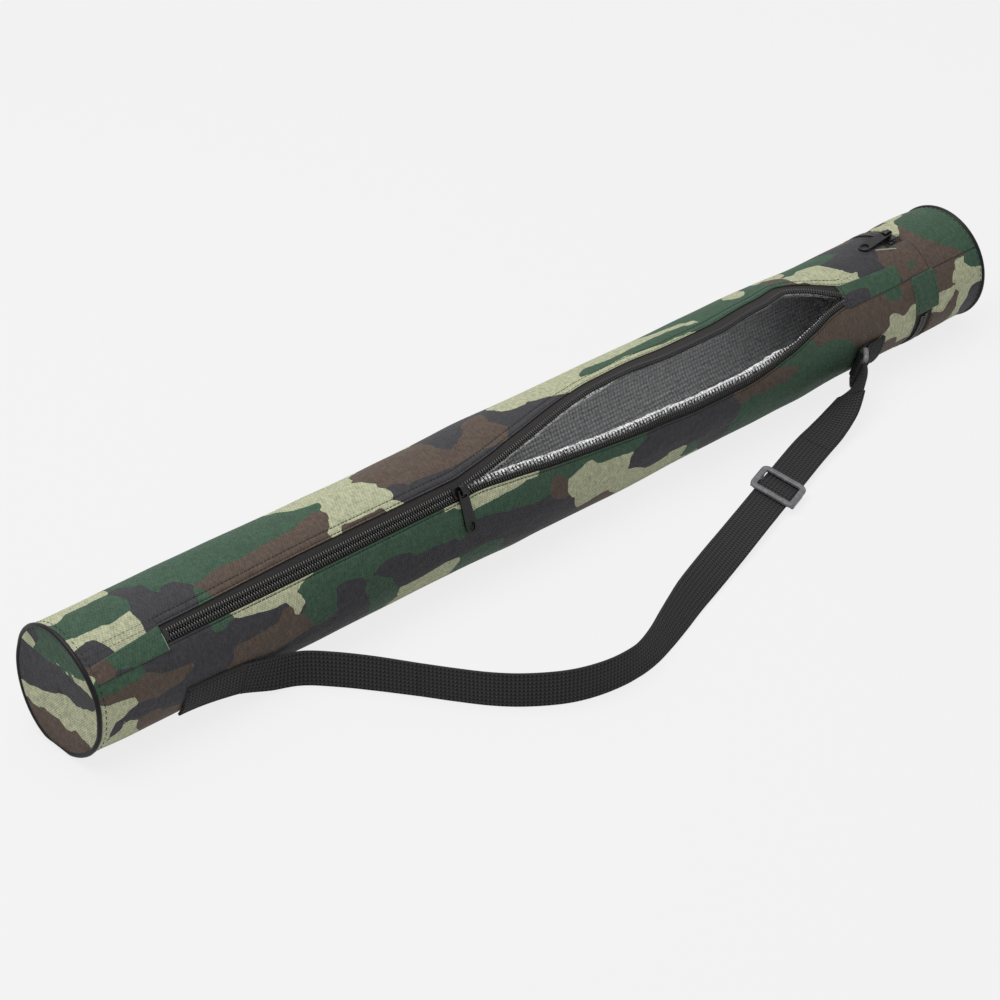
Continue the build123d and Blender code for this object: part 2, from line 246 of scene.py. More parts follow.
def tubePoint(x, angle, radius):
    radius += ripple(x, angle)
    place = Vector((x, 0, tube["axis"])) + outward(angle) * radius
    place.z = max(place.z, min(tube["radius"] - radius, lay["innerLift"]), 0.0)
    lean = endLean["down"] * (tube["axis"] - place.z) + endLean["back"] * place.y
    place.x -= smooth((endLean["from"] - x) / endLean["over"]) * max(lean, 0.0) / tube["radius"]
    return place * mm


# shader maths
class Signal:
    def __init__(self, tree, socket):
        self.tree = tree
        self.socket = socket

    def maths(self, operation, *values):
        return self.tree.node("Math", {"operation": operation}, dict(enumerate(values)))

    def __add__(self, other):
        return self.maths("ADD", self, other)

    __radd__ = __add__

    def __sub__(self, other):
        return self.maths("SUBTRACT", self, other)

    def __mul__(self, other):
        return self.maths("MULTIPLY", self, other)

    __rmul__ = __mul__

    def __gt__(self, other):
        return self.maths("GREATER_THAN", self, other)

    def top(self, other):
        return self.maths("MAXIMUM", self, other)

    def power(self, other):
        return self.maths("POWER", self, other)

    def size(self):
        return self.maths("ABSOLUTE", self)

    def sine(self):
        return self.maths("SINE", self)

    def clamp(self):
        return self.tree.node("Clamp", {}, {0: self})

    def wave(self, pitch):
        return (self * (2 * math.pi / pitch)).sine()


class Tree:
    def __init__(self, nodeTree):
        self.nodes = nodeTree.nodes
        self.links = nodeTree.links

    def feed(self, socket, value):
        if isinstance(value, Signal):
            self.links.new(value.socket, socket)
        else:
            socket.default_value = value

    def node(self, kind, settings=None, values=None, output=0):
        made = self.nodes.new("ShaderNode" + kind)
        for name, value in (settings or {}).items():
            if name == "stops":
                setStops(made.color_ramp, value)
            else:
                setattr(made, name, value)
        for name, value in (values or {}).items():
            self.feed(made.inputs[name], value)
        return Signal(self, made.outputs[output])

    def blendColours(self, factor, first, second, how="MIX"):
        settings = {"data_type": "RGBA", "blend_type": how}
        return self.node("Mix", settings, {0: factor, 6: first, 7: second}, 2)

    def attribute(self, name, output="Vector"):
        return self.node("Attribute", {"attribute_name": name}, {}, output)

    def parts(self, vector):
        made = self.nodes.new("ShaderNodeSeparateXYZ")
        self.feed(made.inputs[0], vector)
        return [Signal(self, made.outputs[i]) for i in range(3)]

    def noise(self, place, scale, detail=2.0, roughness=0.5, output=0):
        values = {"Vector": place, "Scale": scale, "Detail": detail, "Roughness": roughness}
        return self.node("TexNoise", {}, values, output)

    def bump(self, height, distance, strength=1.0, under=None):
        values = {"Height": height, "Distance": distance, "Strength": strength}
        if under:
            values["Normal"] = under
        return self.node("Bump", {}, values)

    def moved(self, place, scale=(1, 1, 1), shift=(0, 0, 0)):
        return self.node("Mapping", {}, {"Vector": place, "Scale": scale, "Location": shift})

    def clothMap(self):
        return self.node("UVMap", {"uv_map": "clothMap"})

    def seenDirectly(self):
        rays = self.nodes.new("ShaderNodeLightPath")
        kinds = ("Is Camera Ray", "Is Glossy Ray", "Is Transmission Ray")
        camera, glossy, through = (Signal(self, rays.outputs[kind]) for kind in kinds)
        return camera.top(glossy).top(through)


class Finish(Tree):
    def __init__(self, name, **look):
        self.material = bpy.data.materials.new(name)
        self.material.use_nodes = True
        super().__init__(self.material.node_tree)
        self.shader = self.nodes["Principled BSDF"]
        self.shade(**look)

    def shade(self, **look):
        for name, value in look.items():
            self.feed(self.shader.inputs[name.replace("_", " ")], value)


def setStops(ramp, stops):
    while len(ramp.elements) < len(stops):
        ramp.elements.new(1.0)
    for element, (position, colour) in zip(ramp.elements, stops):
        element.position = position
        element.color = colour


def srgb(red, green, blue):
    return [((c / 255 + 0.055) / 1.055) ** 2.4 if c > 10 else c / 3295 for c in (red, green, blue)] + [1.0]


camoLook = {
    "khaki": srgb(171, 174, 144),
    "green": srgb(60, 83, 67),
    "brown": srgb(86, 74, 66),
    "charcoal": srgb(60, 59, 62),
    "stretch": (0.42, 1.0, 1.0),
    "scale": 21.0,
    "ragged": 85.0,
    "fray": 0.3,
    "grain": 0.0019,
    "hold": 0.5,  # how firmly a placed blot keeps its colour
    "edge": 12.0,  # mm from its rim to its full hold
    "layers": [  # colour, shift of its noise, lead over the others, which channel of the placed blots
        ("charcoal", 0.0, -0.005, 3), ("green", 3.7, 0.01, 1), ("brown", 8.1, -0.008, 2), ("khaki", 12.9, -0.01, 0),
    ],
}


def camoCloth():
    finish = Finish("camoCloth", Specular_IOR_Level=0.16)
    place = finish.attribute("clothPlace")
    spread = finish.moved(place, camoLook["stretch"])
    pulls = finish.parts(finish.attribute("camoPull")) + [finish.attribute("camoDark", "Fac")]
    colour, highest = camoLook["charcoal"], None
    for name, shift, lead, channel in camoLook["layers"]:
        moved = finish.moved(spread, (1, 1, 1), (shift, shift / 2, -shift))
        torn = finish.moved(place, (0.7, 1, 1), (-shift, shift, 0))
        ragged = finish.noise(torn, camoLook["ragged"], 2.0, 0.5) * camoLook["fray"]
        field = finish.noise(moved, camoLook["scale"], 0.8, 0.4) + ragged + pulls[channel] + lead
        if highest is None:
            highest = field
        else:
            colour = finish.blendColours(field > highest, colour, camoLook[name])
            highest = highest.top(field)
    mottle = finish.noise(place, 300.0, 3.0, 0.7)
    fibres = finish.noise(finish.moved(place, (1.0, 0.6, 0.6)), 520.0, 1.0, 0.5)
    weave = twill(finish, camoLook["grain"])
    tone = 0.1 + 0.5 * mottle + 0.85 * fibres + 0.42 * weave
    colour = finish.blendColours(1.0, colour, greyOf(finish, tone), "MULTIPLY")
    creases = finish.noise(finish.moved(place, (0.5, 1, 1)), 62.0, 3.0, 0.6)
    soft = finish.bump(creases, 0.0021)
    finish.shade(Base_Color=colour, Roughness=0.56 + 0.14 * mottle)
    finish.shade(Normal=finish.bump(weave, 0.00018, 1.0, soft))
    return finish.material


def greyOf(finish, value):
    return finish.node("CombineColor", {}, {0: value, 1: value, 2: value})


def twill(finish, pitch):
    across, along, _ = finish.parts(finish.clothMap())
    turn = 2 * math.pi / pitch
    rows = (across * turn + along * turn).sine()
    cross = (across * turn * 0.9 - along * turn * 0.45).sine()
    return (0.5 + 0.32 * rows + 0.18 * cross).clamp()


def webbingCloth():
    finish = Finish("webbingCloth", Specular_IOR_Level=0.2)
    along, across, _ = finish.parts(finish.clothMap())
    rib = along.wave(0.0026)
    chain = (across * (2 * math.pi / 0.0028) + rib * 1.5).sine()
    tooth = 0.5 + 0.24 * rib + 0.28 * chain
    flecks = finish.noise(finish.clothMap(), 900.0, 2.0, 0.6)
    tone = (tooth * 1.2 - 0.15) * (0.7 + 0.6 * flecks)
    colour = finish.blendColours(tone.clamp(), srgb(12, 12, 13), srgb(62, 61, 61))
    finish.shade(Base_Color=colour, Roughness=0.66 + 0.2 * flecks, Normal=finish.bump(tooth, 0.0004))
    return finish.material


def tapeCloth():
    finish = Finish("tapeCloth", Specular_IOR_Level=0.18)
    along, across, _ = finish.parts(finish.clothMap())
    ribs = across.wave(0.0009) * (0.6 + 0.4 * along.wave(0.0012))
    fluff = finish.noise(finish.attribute("clothPlace"), 700.0, 3.0, 0.6)
    colour = finish.blendColours((0.4 * fluff + 0.3 * ribs + 0.3).clamp(), srgb(30, 29, 29), srgb(64, 62, 61))
    finish.shade(Base_Color=colour, Roughness=0.65 + 0.2 * fluff, Normal=finish.bump(ribs, 0.00018))
    return finish.material


def threadLook(name, dark, pale):
    finish = Finish(name, Roughness=0.6, Specular_IOR_Level=0.2)
    place = finish.node("TexCoord", {}, {}, "Object")
    fibre = finish.noise(finish.moved(place, (1, 3, 3)), 1500.0, 2.0, 0.6)
    finish.shade(Base_Color=finish.blendColours(fibre, dark, pale), Normal=finish.bump(fibre, 0.00012))
    return finish.material


def smoothLook(name, dark, pale, rough, scale, dent, **more):
    # moulded or painted: slight tone changes, fine orange peel, rubbed high spots
    finish = Finish(name, **more)
    place = finish.node("TexCoord", {}, {}, "Object")
    cloud = finish.noise(place, scale, 3.0, 0.6)
    peel = finish.noise(place, scale * 9, 2.0, 0.5)
    rubbed = finish.node("ValToRGB", {"stops": [(0.46, (0, 0, 0, 1)), (0.7, (1, 1, 1, 1))]}, {0: cloud})
    finish.shade(Base_Color=finish.blendColours(rubbed, dark, pale))
    finish.shade(Roughness=rough + 0.16 * cloud, Normal=finish.bump(peel, dent))
    return finish.material


def coilLook():
    # shiny nylon, with a painted highlight: a pale grey painted along the top of each rib
    finish = Finish("coilNylon", Specular_IOR_Level=0.45)
    place = finish.node("TexCoord", {}, {}, "Object")
    scuffAndHighlight = finish.noise(place, 700.0, 2.0, 0.6)
    # painted highlight: the pale grey is mixed in where the rib's top faces out, varied by the scuff noise
    crown = finish.attribute("crown", "Fac").power(4.0) * (0.3 + 1.0 * scuffAndHighlight)
    finish.shade(Base_Color=finish.blendColours(crown.clamp(), srgb(12, 12, 13), srgb(118, 116, 114)))
    finish.shade(Roughness=0.26 + 0.2 * scuffAndHighlight, Normal=finish.bump(scuffAndHighlight, 0.00006))
    return finish.material


def foilLook(name, pitch, crinkle, gap, metal, sparkle, dark, pale):
    # silver film over a woven scrim: bright cells, darker lines between them, with painted glints and painted crinkle
    # shade
    finish = Finish(name, Metallic=metal)
    along, across, _ = finish.parts(finish.clothMap())
    turn = math.pi / pitch
    cells = ((along * turn).sine().size() * (across * turn).sine().size()).power(0.45)
    place = finish.attribute("clothPlace")
    folds = finish.noise(place, crinkle, 4.0, 0.7)
    # painted light: the glint noise paints highlights and darker crinkle shade into the colour below; the binding's
    # strong sparkle gives it dark specks
    glint = finish.noise(finish.moved(place, (1, 1.4, 1.4)), crinkle * 4, 2.0, 0.6)
    bright = (cells * (1 - gap) + gap) * ((glint - 0.5) * sparkle + 0.86).clamp()
    colour = finish.blendColours(bright.clamp(), dark, pale)
    height = finish.bump(folds, 0.0016)
    finish.shade(Base_Color=colour, Roughness=0.3 + 0.3 * glint)
    finish.shade(Normal=finish.bump(cells, 0.0008, 1.0, height))
    return finish.material


vinyl = (srgb(6, 6, 7), srgb(15, 15, 16), 0.3, 240.0, 0.0001)
enamel = (srgb(5, 5, 6), srgb(15, 15, 16), 0.22, 420.0, 0.00004)
nylon = (srgb(96, 95, 98), srgb(124, 122, 124), 0.34, 300.0, 0.00006)
white = srgb(254, 254, 255)
finishes = {
    "camo": camoCloth(),
    "webbing": webbingCloth(),
    "tape": tapeCloth(),
    "darkThread": threadLook("darkThread", srgb(16, 17, 17), srgb(44, 46, 45)),
    "paleThread": threadLook("paleThread", srgb(112, 124, 110), srgb(176, 186, 172)),
    "coil": coilLook(),
    "piping": smoothLook("pipingVinyl", *vinyl, Specular_IOR_Level=0.22),
    "slider": smoothLook("sliderEnamel", *enamel, Specular_IOR_Level=0.4),
    "buckle": smoothLook("buckleNylon", *nylon),
    "liner": foilLook("linerFoil", 0.0029, 90.0, 0.36, 0.3, 1.8, srgb(112, 113, 115), white),
    "binding": foilLook("bindingFoil", 0.0022, 130.0, 0.7, 0.1, 5.0, srgb(52, 52, 54), white),
}
print("finishes made")


# pieces
def settle(bm, name, finish, facing=None):
    if facing is not None:
        bm.normal_update()
        wrong = sum(1 if face.normal.dot(facing(face.calc_center_median())) < 0 else -1 for face in bm.faces)
        if wrong > 0:
            bmesh.ops.reverse_faces(bm, faces=bm.faces)
    mesh = bpy.data.meshes.new(name)
    for face in bm.faces:
        face.smooth = True
    bm.to_mesh(mesh)
    bm.free()
    piece = bpy.data.objects.new(name, mesh)
    bpy.context.scene.collection.objects.link(piece)
    mesh.materials.append(finishes[finish])
    return piece


def weld(bm):
    bmesh.ops.remove_doubles(bm, verts=bm.verts, dist=0.00001)


def turnOut(bm):
    bmesh.ops.recalc_face_normals(bm, faces=bm.faces)


def offAxis(centre):
    return Vector((0, centre.y, centre.z - tube["axis"] * mm))


def toAxis(centre):
    return -offAxis(centre)


def drawnGrid(columns, rows, place):
    # a grid whose corners are put where place says; place gives the point and its cloth coordinates
    bm = bmesh.new()
    bmesh.ops.create_grid(bm, x_segments=len(columns) - 1, y_segments=len(rows) - 1, size=0.5)
    layer = bm.loops.layers.uv.new("clothMap")
    flat = {}
    for vert in bm.verts:
        column = columns[round((vert.co.x + 0.5) * (len(columns) - 1))]
        row = rows[round((vert.co.y + 0.5) * (len(rows) - 1))]
        vert.co, flat[vert] = place(column, row)
    for face in bm.faces:
        for loop in face.loops:
            loop[layer].uv = flat[loop.vert]
    return bm


# where the larger blots of the print lie: (along, angle, half length, half angle)
# on an end disc: (y, z off the axis, half width, half height)
camoBlots = {
    "wall": {
        "khaki": [
            (-380, 112, 22, 10), (-397, 106, 5, 9), (-377, 67, 20, 12), (-196, 108, 31, 16), (-183, 88, 26, 15),
            (-184, 70, 28, 13), (-210, 59, 6, 5), (-166, 59, 8, 4), (-5, 104, 35, 17), (15, 88, 22, 6),
            (60, 88, 29, 4), (-276, 28, 24, 6), (-258, 19, 8, 10), (-392, 4, 18, 8), (-404, -12, 5, 12),
            (-388, -30, 12, 16), (-90, 29, 16, 3), (-12, 6, 18, 13), (12, 2, 25, 14), (-4, -12, 12, 12),
            (32, -16, 32, 8), (54, -26, 36, 11), (78, -43, 38, 13), (-148, -23, 29, 8), (-156, -34, 22, 9),
            (76, 112, 25, 8), (112, 107, 18, 3), (130, 103, 12, 3), (141, 100, 7, 4), (193, 109, 7, 8),
            (240, 110, 12, 9), (253, 97, 18, 12), (263, 82, 13, 15), (272, 67, 15, 10), (355, 108, 5, 12),
            (374, 115, 6, 5), (381, 33, 9, 8), (383, 20, 18, 9), (385, 8, 23, 6), (367, 1, 9, 9),
            (361, -11, 4, 7), (384, -9, 8, 14), (383, -32, 6, 16), (305, 8, 5, 7), (327, 5, 6, 10),
            (312, -6, 19, 9), (321, -19, 12, 9), (328, -27, 5, 5),
        ],
        "green": [
            (-376, 89, 21, 15), (-375, 75, 6, 6), (-285, 105, 56, 19), (-268, 90, 60, 17), (-310, 80, 14, 12),
            (-314, 63, 7, 12), (-229, 88, 18, 10), (-335, 82, 4, 12), (-335, 108, 14, 9), (-388, 24, 13, 7),
            (-314, 27, 7, 4), (-210, 25, 39, 11), (-165, 26, 40, 10), (-236, 6, 12, 18), (-142, 15, 20, 6),
            (-118, 9, 7, 7), (-80, 19, 31, 8), (-60, 11, 10, 7), (-192, -5, 9, 17), (-186, -28, 8, 15),
            (-103, -26, 20, 14), (-94, -42, 25, 13), (-22, 21, 12, 5), (22, 17, 26, 8), (55, 96, 28, 8),
            (100, 96, 44, 8), (172, 99, 42, 13), (150, 113, 32, 7), (215, 95, 13, 6), (268, 108, 25, 8),
            (286, 100, 10, 6), (248, 103, 4, 7), (385, 95, 24, 24), (388, 70, 19, 20), (394, 50, 12, 13),
            (312, 30, 12, 9), (318, 22, 8, 6), (397, 27, 9, 10), (205, 20, 15, 7), (226, 4, 26, 15),
            (200, -22, 62, 26), (150, -6, 13, 13), (96, -24, 10, 15), (225, -42, 42, 18), (135, 90, 34, 5),
            (-127, 26, 16, 6), (120, 91, 15, 4), (137, 95, 9, 3),
        ],
        "brown": [
            (-280, 67, 28, 10), (-245, 66, 30, 12), (-219, 78, 11, 9), (-232, 59, 15, 7), (-188, 57, 17, 4),
            (-135, 100, 33, 18), (-125, 82, 27, 12), (-70, 84, 26, 14), (-60, 102, 14, 11), (-98, 73, 16, 5),
            (-388, 13, 13, 4), (-365, 8, 14, 10), (-340, 9, 13, 5), (-368, -25, 10, 10), (-285, 2, 25, 11),
            (-268, 15, 7, 6), (-262, -8, 15, 9), (-39, 12, 8, 13), (8, -38, 18, 15), (229, 105, 4, 6),
            (327, 67, 9, 9), (362, 55, 10, 12), (370, 42, 11, 7), (358, 84, 5, 15), (265, 25, 36, 14),
            (281, 8, 20, 15), (235, 22, 18, 7), (322, 28, 7, 9), (310, 18, 20, 7), (150, 8, 21, 7),
            (182, 8, 15, 7), (364, 27, 7, 10), (306, -21, 13, 7), (372, -9, 5, 13), (362, -27, 12, 12),
            (318, -38, 20, 10),
        ],
        "charcoal": [
            (-352, 105, 8, 19), (-347, 88, 7, 13), (-345, 68, 12, 15), (-328, 69, 10, 13), (-394, 58, 7, 8),
            (-150, 72, 9, 13), (-135, 63, 23, 8), (-108, 61, 18, 6), (-92, 100, 12, 17), (-82, 114, 15, 6),
            (-98, 88, 5, 6), (-50, 100, 7, 11), (-44, 88, 10, 9), (-25, 87, 17, 6), (-19, 95, 5, 6),
            (-12, 81, 16, 5), (-35, 78, 12, 5), (-345, 24, 21, 8), (-315, 20, 22, 8), (-295, 17, 23, 7),
            (-360, 20, 7, 7), (-328, 2, 15, 10), (-375, -8, 14, 11), (-395, -19, 6, 7), (-360, -12, 11, 14),
            (-218, 2, 10, 13), (-225, -23, 15, 17), (-208, -20, 8, 15), (-175, 8, 15, 8), (-150, -2, 29, 13),
            (-100, 7, 25, 11), (-96, -5, 42, 12), (-60, -4, 25, 14), (-52, -25, 27, 19), (-36, -44, 26, 13),
            (-92, 23, 12, 4), (300, 112, 15, 9), (295, 90, 21, 13), (305, 75, 15, 11), (285, 70, 8, 5),
            (300, 63, 22, 5), (322, 96, 10, 14), (70, 0, 31, 12), (105, -2, 27, 13), (55, -12, 12, 7),
            (114, -22, 11, 15), (398, -13, 9, 15), (-255, -30, 25, 20), (128, 4, 8, 8), (95, 14, 34, 7),
        ],
    },
    "tabs": {
        "green": [
            (-377, 42, 19, 10), (290, 56, 27, 5), (301, 41, 7, 4), (322, 54, 11, 6), (345, 17, 16, 22),
        ],
        "charcoal": [
            (-392, 33, 8, 3), (276, 46, 12, 8), (306, 49, 9, 6), (329, 41, 8, 5), (342, 50, 10, 12),
        ],
        "brown": [(-400, 38, 6, 8), (345, 70, 14, 9), (338, 58, 4, 5)],
    },
    "disc": {
        "khaki": [
            (36, -18, 10, 8), (22, -19, 13, 9), (8, -15, 12, 11), (-8, -13, 12, 12), (-24, -12, 12, 10),
            (-35, -8, 8, 12), (27, 25, 4, 4), (-2, 23, 6, 3), (-14, 22, 8, 3), (-28, 21, 6, 2.5),
        ],
        "charcoal": [
            (33, 8, 13, 13), (18, 8, 13, 11), (0, 12, 15, 8), (-16, 10, 15, 9), (-30, 12, 13, 9),
            (24, 32, 10, 8),
        ],
        "green": [(3, 33, 11, 8), (-12, 31, 13, 7), (-26, 27, 12, 6), (12, 22, 7, 5)],
        "brown": [(28, -34, 14, 8), (5, -37, 25, 10), (-16, -34, 16, 8)],
    },
}


def remember(piece, camo=None):
    # the cloth keeps its print and its grain where it was laid, whatever it does later
    mesh = piece.data
    places = mesh.attributes.new("clothPlace", "FLOAT_VECTOR", "POINT")
    places.data.foreach_set("vector", [c for vert in mesh.vertices for c in vert.co])
    if camo:
        found = [camoPulls(camo, vert.co / mm) for vert in mesh.vertices]
        pulls = mesh.attributes.new("camoPull", "FLOAT_VECTOR", "POINT")
        pulls.data.foreach_set("vector", [c for pull in found for c in pull[:3]])
        darks = mesh.attributes.new("camoDark", "FLOAT", "POINT")
        darks.data.foreach_set("value", [pull[3] for pull in found])
    return piece


def camoPulls(cloth, place):
    turn = math.degrees(math.atan2(place.z - tube["axis"], -place.y))
    spot = (place.y, place.z - tube["axis"]) if cloth == "disc" else (place.x, turn)
    pulls = []
    for colour in ("khaki", "green", "brown", "charcoal"):
        best = -1.0
        for blotX, blotY, halfX, halfY in camoBlots[cloth].get(colour, []):
            slope = min(halfX, halfY) / camoLook["edge"]
            offX = (spot[0] - blotX) / halfX
            if (1 - abs(offX)) * slope > best:
                best = max(best, (1 - math.hypot(offX, (spot[1] - blotY) / halfY)) * slope)
        pulls.append(camoLook["hold"] * min(best, 1.0))
    return pulls


def wallPiece(name, columns, rows, place, finish, facing=offAxis, camo=None, close=False):
    def laid(column, row):
        x, angle, radius = place(column, row)
        return tubePoint(x, angle, radius), (x * mm, math.radians(angle) * radius * mm)
    bm = drawnGrid(columns, rows, laid)
    if close:
        weld(bm)
    return remember(settle(bm, name, finish, facing), camo)


def finishPiece(piece, body, slot, *stands):
    if body:
        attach(piece, body)
    if stands:
        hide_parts(*stands)
    any("foam" in node for node in stands)
    return piece


def follow(piece, lip, region, slot, *stands):
    # works out where the lip's pull starts and how far it reaches, hides the parts the piece stands for, and bakes
    # the piece where it lies
    normal = around(lip["pivot"]) * -lip["side"]
    gradient = normal / (tube["radius"] * lip["full"])
    corner = lip["wide"][0 if region == "rise" else 1]
    if region == "rise":
        gradient += Vector((1 / lip["ramps"][0], 0, 0))
    if region == "fall":
        gradient -= Vector((1 / lip["ramps"][1], 0, 0))
    start = Vector((corner, 0, tube["axis"])) - normal * tube["radius"] * lip["zero"]
    reach = gradient / gradient.length_squared
    finishPiece(piece, None, slot, *stands)
    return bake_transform(piece, "bag", lip["body"], start=start * mm, end=(start + reach) * mm)


def lineFrame(route, x):
    # spot, along, sideways and off the surface, for a line round or along the tube
    spot, angle = route(x)
    along = (route(x + 0.4)[0] - route(x - 0.4)[0]).normalized()
    off = outward(angle)
    off = (off - along * off.dot(along)).normalized()
    return spot, along, off.cross(along), off


def basisOf(spot, first, second, third):
    basis = Matrix((first, second, third)).transposed().to_4x4()
    basis.translation = spot
    return basis


def blocks(name, frames, size, finish, skew=0.0, rounding=0.3):
    bm = bmesh.new()
    length, width, height = (c * mm for c in size)
    shape = Matrix.Rotation(math.radians(skew), 4, "Z") @ Matrix.Diagonal((length, width, height, 1))
    for spot, along, sideways, off in frames:
        bmesh.ops.create_cube(bm, size=1.0, matrix=basisOf(spot, along, sideways, off) @ shape)
    bmesh.ops.bevel(
        bm, geom=bm.edges, offset=rounding * min(size) * mm, offset_type="OFFSET",
        segments=1, profile=0.5, affect="EDGES", material=-1)
    turnOut(bm)
    return settle(bm, name, finish)


def ribs(name, frames, size, skew=0.0):
    # round bars lying across the zip, carrying a painted highlight along their tops
    bm = bmesh.new()
    crown = bm.verts.layers.float.new("crown")
    length, width, height = (c * mm for c in size)
    shape = Matrix.Rotation(math.radians(skew), 4, "Y") @ Matrix.Diagonal((length, height, width, 1))
    for spot, along, sideways, off in frames:
        matrix = basisOf(spot, along, off, sideways) @ shape
        made = bmesh.ops.create_cone(
            bm, segments=8, radius1=0.5, radius2=0.5, depth=1.0, cap_ends=True, matrix=matrix)
        # each point's share of the painted highlight: most on the top of the rib, none on its lower half
        for vert in made["verts"]:
            vert[crown] = max(0.0, (vert.co - spot).dot(off) / (height / 2))
    turnOut(bm)
    return settle(bm, name, "coil")


# cloth wall and its folded hems beside the zip
wall = {
    "columns": {"near": 5.0, "rise": 4.0, "middle": 4.0, "fall": 2.5, "far": 2.5},
    "rowPitch": 2.6,
    "hemReach": 11.0,
    "endGap": 1.6,
    "edgeGap": 0.6,
    "hemRows": {
        "upper": [
            (9.6, 0.0), (8.7, -0.12), (8.0, -0.38), (7.3, -0.1), (6.2, 0.08), (4.6, 0.12), (3.2, 0.04),
            (2.5, -0.18), (2.1, -0.34), (1.6, -0.05), (0.9, 0.3), (0.3, 0.36), (0.0, 0.1), (0.1, -0.35),
            (1.2, -0.62)],
        "lower": [
            (9.0, 0.0), (6.2, 0.05), (4.2, 0.12), (2.9, 0.02), (2.1, -0.3), (1.5, 0.0), (0.8, 0.3), (0.3, 0.34),
            (0.0, 0.1), (0.1, -0.35), (1.2, -0.62)],
    },
}
mouthIn, mouthOut = zipLine["mouth"]
for lip in lips.values():
    wideIn, wideOut = lip["wide"]
    lip["regions"] = {
        "near": (zipLine["start"], mouthIn),
        "rise": (mouthIn, wideIn),
        "middle": (wideIn, wideOut),
        "fall": (wideOut, mouthOut),
        "far": (mouthOut, zipLine["end"]),
    }
moving = ("rise", "middle", "fall")


def titled(kind, region, key):
    return kind + region.capitalize() + key.capitalize()


standsFor = {"wallNearUpper": "body_shell"}
for key in lips:
    for kind, part in {"tape": "tape", "teeth": "coil", "binding": "binding"}.items():
        if kind != "binding":
            standsFor[titled(kind, "near", key)] = "zip_" + part + "_" + key
        standsFor[titled(kind, "rise", key)] = "mouth_" + part + "_" + key
        standsFor[titled(kind, "middle", key)] = key + "_lip_" + part


def join(piece, lip, region, slot):
    stands = [standsFor[piece.name]] if piece.name in standsFor else []
    if region in moving:
        return follow(piece, lip, region, slot, *stands)
    return finishPiece(piece, "bag", slot, *stands)


for key, lip in lips.items():
    lip["far"] = tube["underside"] if lip["side"] > 0 else tube["underside"] - 360
    steps = evenly(0, 1, wall["rowPitch"] / abs(lip["far"] - zipLine["angle"]))
    rows = [(step, None, 0.0) for step in steps[:-1]] + [(1.0, wall["hemReach"], 0.0)]
    rows += [(1.0, shift, lift) for shift, lift in wall["hemRows"][key]]

    def laidWall(x, row, lip=lip):
        step, shift, lift = row
        edge = lipAngle(lip, x) + lip["side"] * hemShift(lip, x)
        if shift is None:
            return x, mix(lip["far"], edge + lip["side"] * wall["hemReach"], step), tube["radius"]
        return x, edge + lip["side"] * shift, tube["radius"] + lift

    for region, (low, high) in lip["regions"].items():
        columns = evenly(low, high, wall["columns"][region])
        piece = wallPiece(titled("wall", region, key), columns, rows, laidWall, "camo", camo="wall")
        join(piece, lip, region, "camo_fabric")


def allRound(pitch):
    return [tube["underside"] - 360 + a for a in evenly(0, 360, pitch)]


around360 = allRound(wall["rowPitch"])


def laidRound(x, angle):
    return x, angle, tube["radius"]


for name, low, high in (
    ("wallNearCollar", tube["start"] + wall["endGap"], zipLine["start"]),
    ("wallFarCollar", zipLine["end"], tube["edge"] - wall["edgeGap"]),
):
    columns = evenly(low, high, wall["columns"]["near"])
    piece = wallPiece(name, columns, around360, laidRound, "camo", camo="wall", close=True)
    finishPiece(piece, "bag", "camo_fabric")
print("cloth wall laid")


# zip: woven tape, coil, and the folded edge of the foil lining
zipSizes = {
    "tapeReach": 18.0,
    "tapeEdge": 0.15,
    "tapeRadius": tube["radius"] - tube["cloth"] + 0.05,
    "coilRadius": 43.38,
    "coilShift": 2.7,
    "pitch": 2.0,
    "coil": (1.05, 3.9, 1.6),
    "skew": 6.0,
    "cord": [(1.9, -0.3), (2.0, 0.75), (2.4, 0.95), (2.9, 0.95), (3.3, 0.75), (3.4, -0.3)],
}
bindings = {  # rows are (degrees from the teeth, radius); each fold slips out of sight between two places
    "upper": {
        "rows": [(1.5, 42.5), (0.2, 42.2), (-0.8, 41.4), (-1.2, 40.2), (-0.6, 39.0), (1.6, 38.4), (4.0, 38.15)],
        "hides": (30, 60), "tuck": 5.6},
    "lower": {
        "rows": [
            (2.6, 42.75), (0.8, 42.95), (-0.8, 43.15), (-2.6, 43.05), (-4.2, 42.2), (-4.8, 40.8), (-4.0, 39.4),
            (-1.4, 38.5), (3.0, 38.1)],
        "hides": (172, 206), "tuck": 5.4},
}
crinkle = {"length": 5.0, "height": 0.55, "sideways": 0.8, "drop": 0.7, "sewnRadius": 38.2, "freeOver": 1.5}


def laidTape(lip):
    def laid(x, shift):
        return x, lipAngle(lip, x) + lip["side"] * shift, zipSizes["tapeRadius"]
    return laid


def laidCord(lip):
    def laid(x, row):
        return x, lipAngle(lip, x) + lip["side"] * row[0], zipSizes["coilRadius"] + row[1]
    return laid


def freedom(radius):
    # 0 where the foil is sewn down against the foam, 1 where it is free to crinkle
    return smooth((radius - crinkle["sewnRadius"]) / crinkle["freeOver"])


def laidBinding(lip, fold):
    def laid(x, row):
        low, high = fold["hides"]
        hidden = smooth((x - low) / (high - low))
        shift, radius = row[0] + fold["tuck"] * hidden, row[1] - crinkle["drop"] * hidden
        fleck = noise.noise(Vector((x / crinkle["length"], row[0] * 0.6, row[1] * 0.5 + lip["side"] * 9)))
        fleck *= freedom(radius)
        angle = lipAngle(lip, x) + lip["side"] * (shift + crinkle["sideways"] * fleck)
        return x, angle, radius + crinkle["height"] * fleck
    return laid


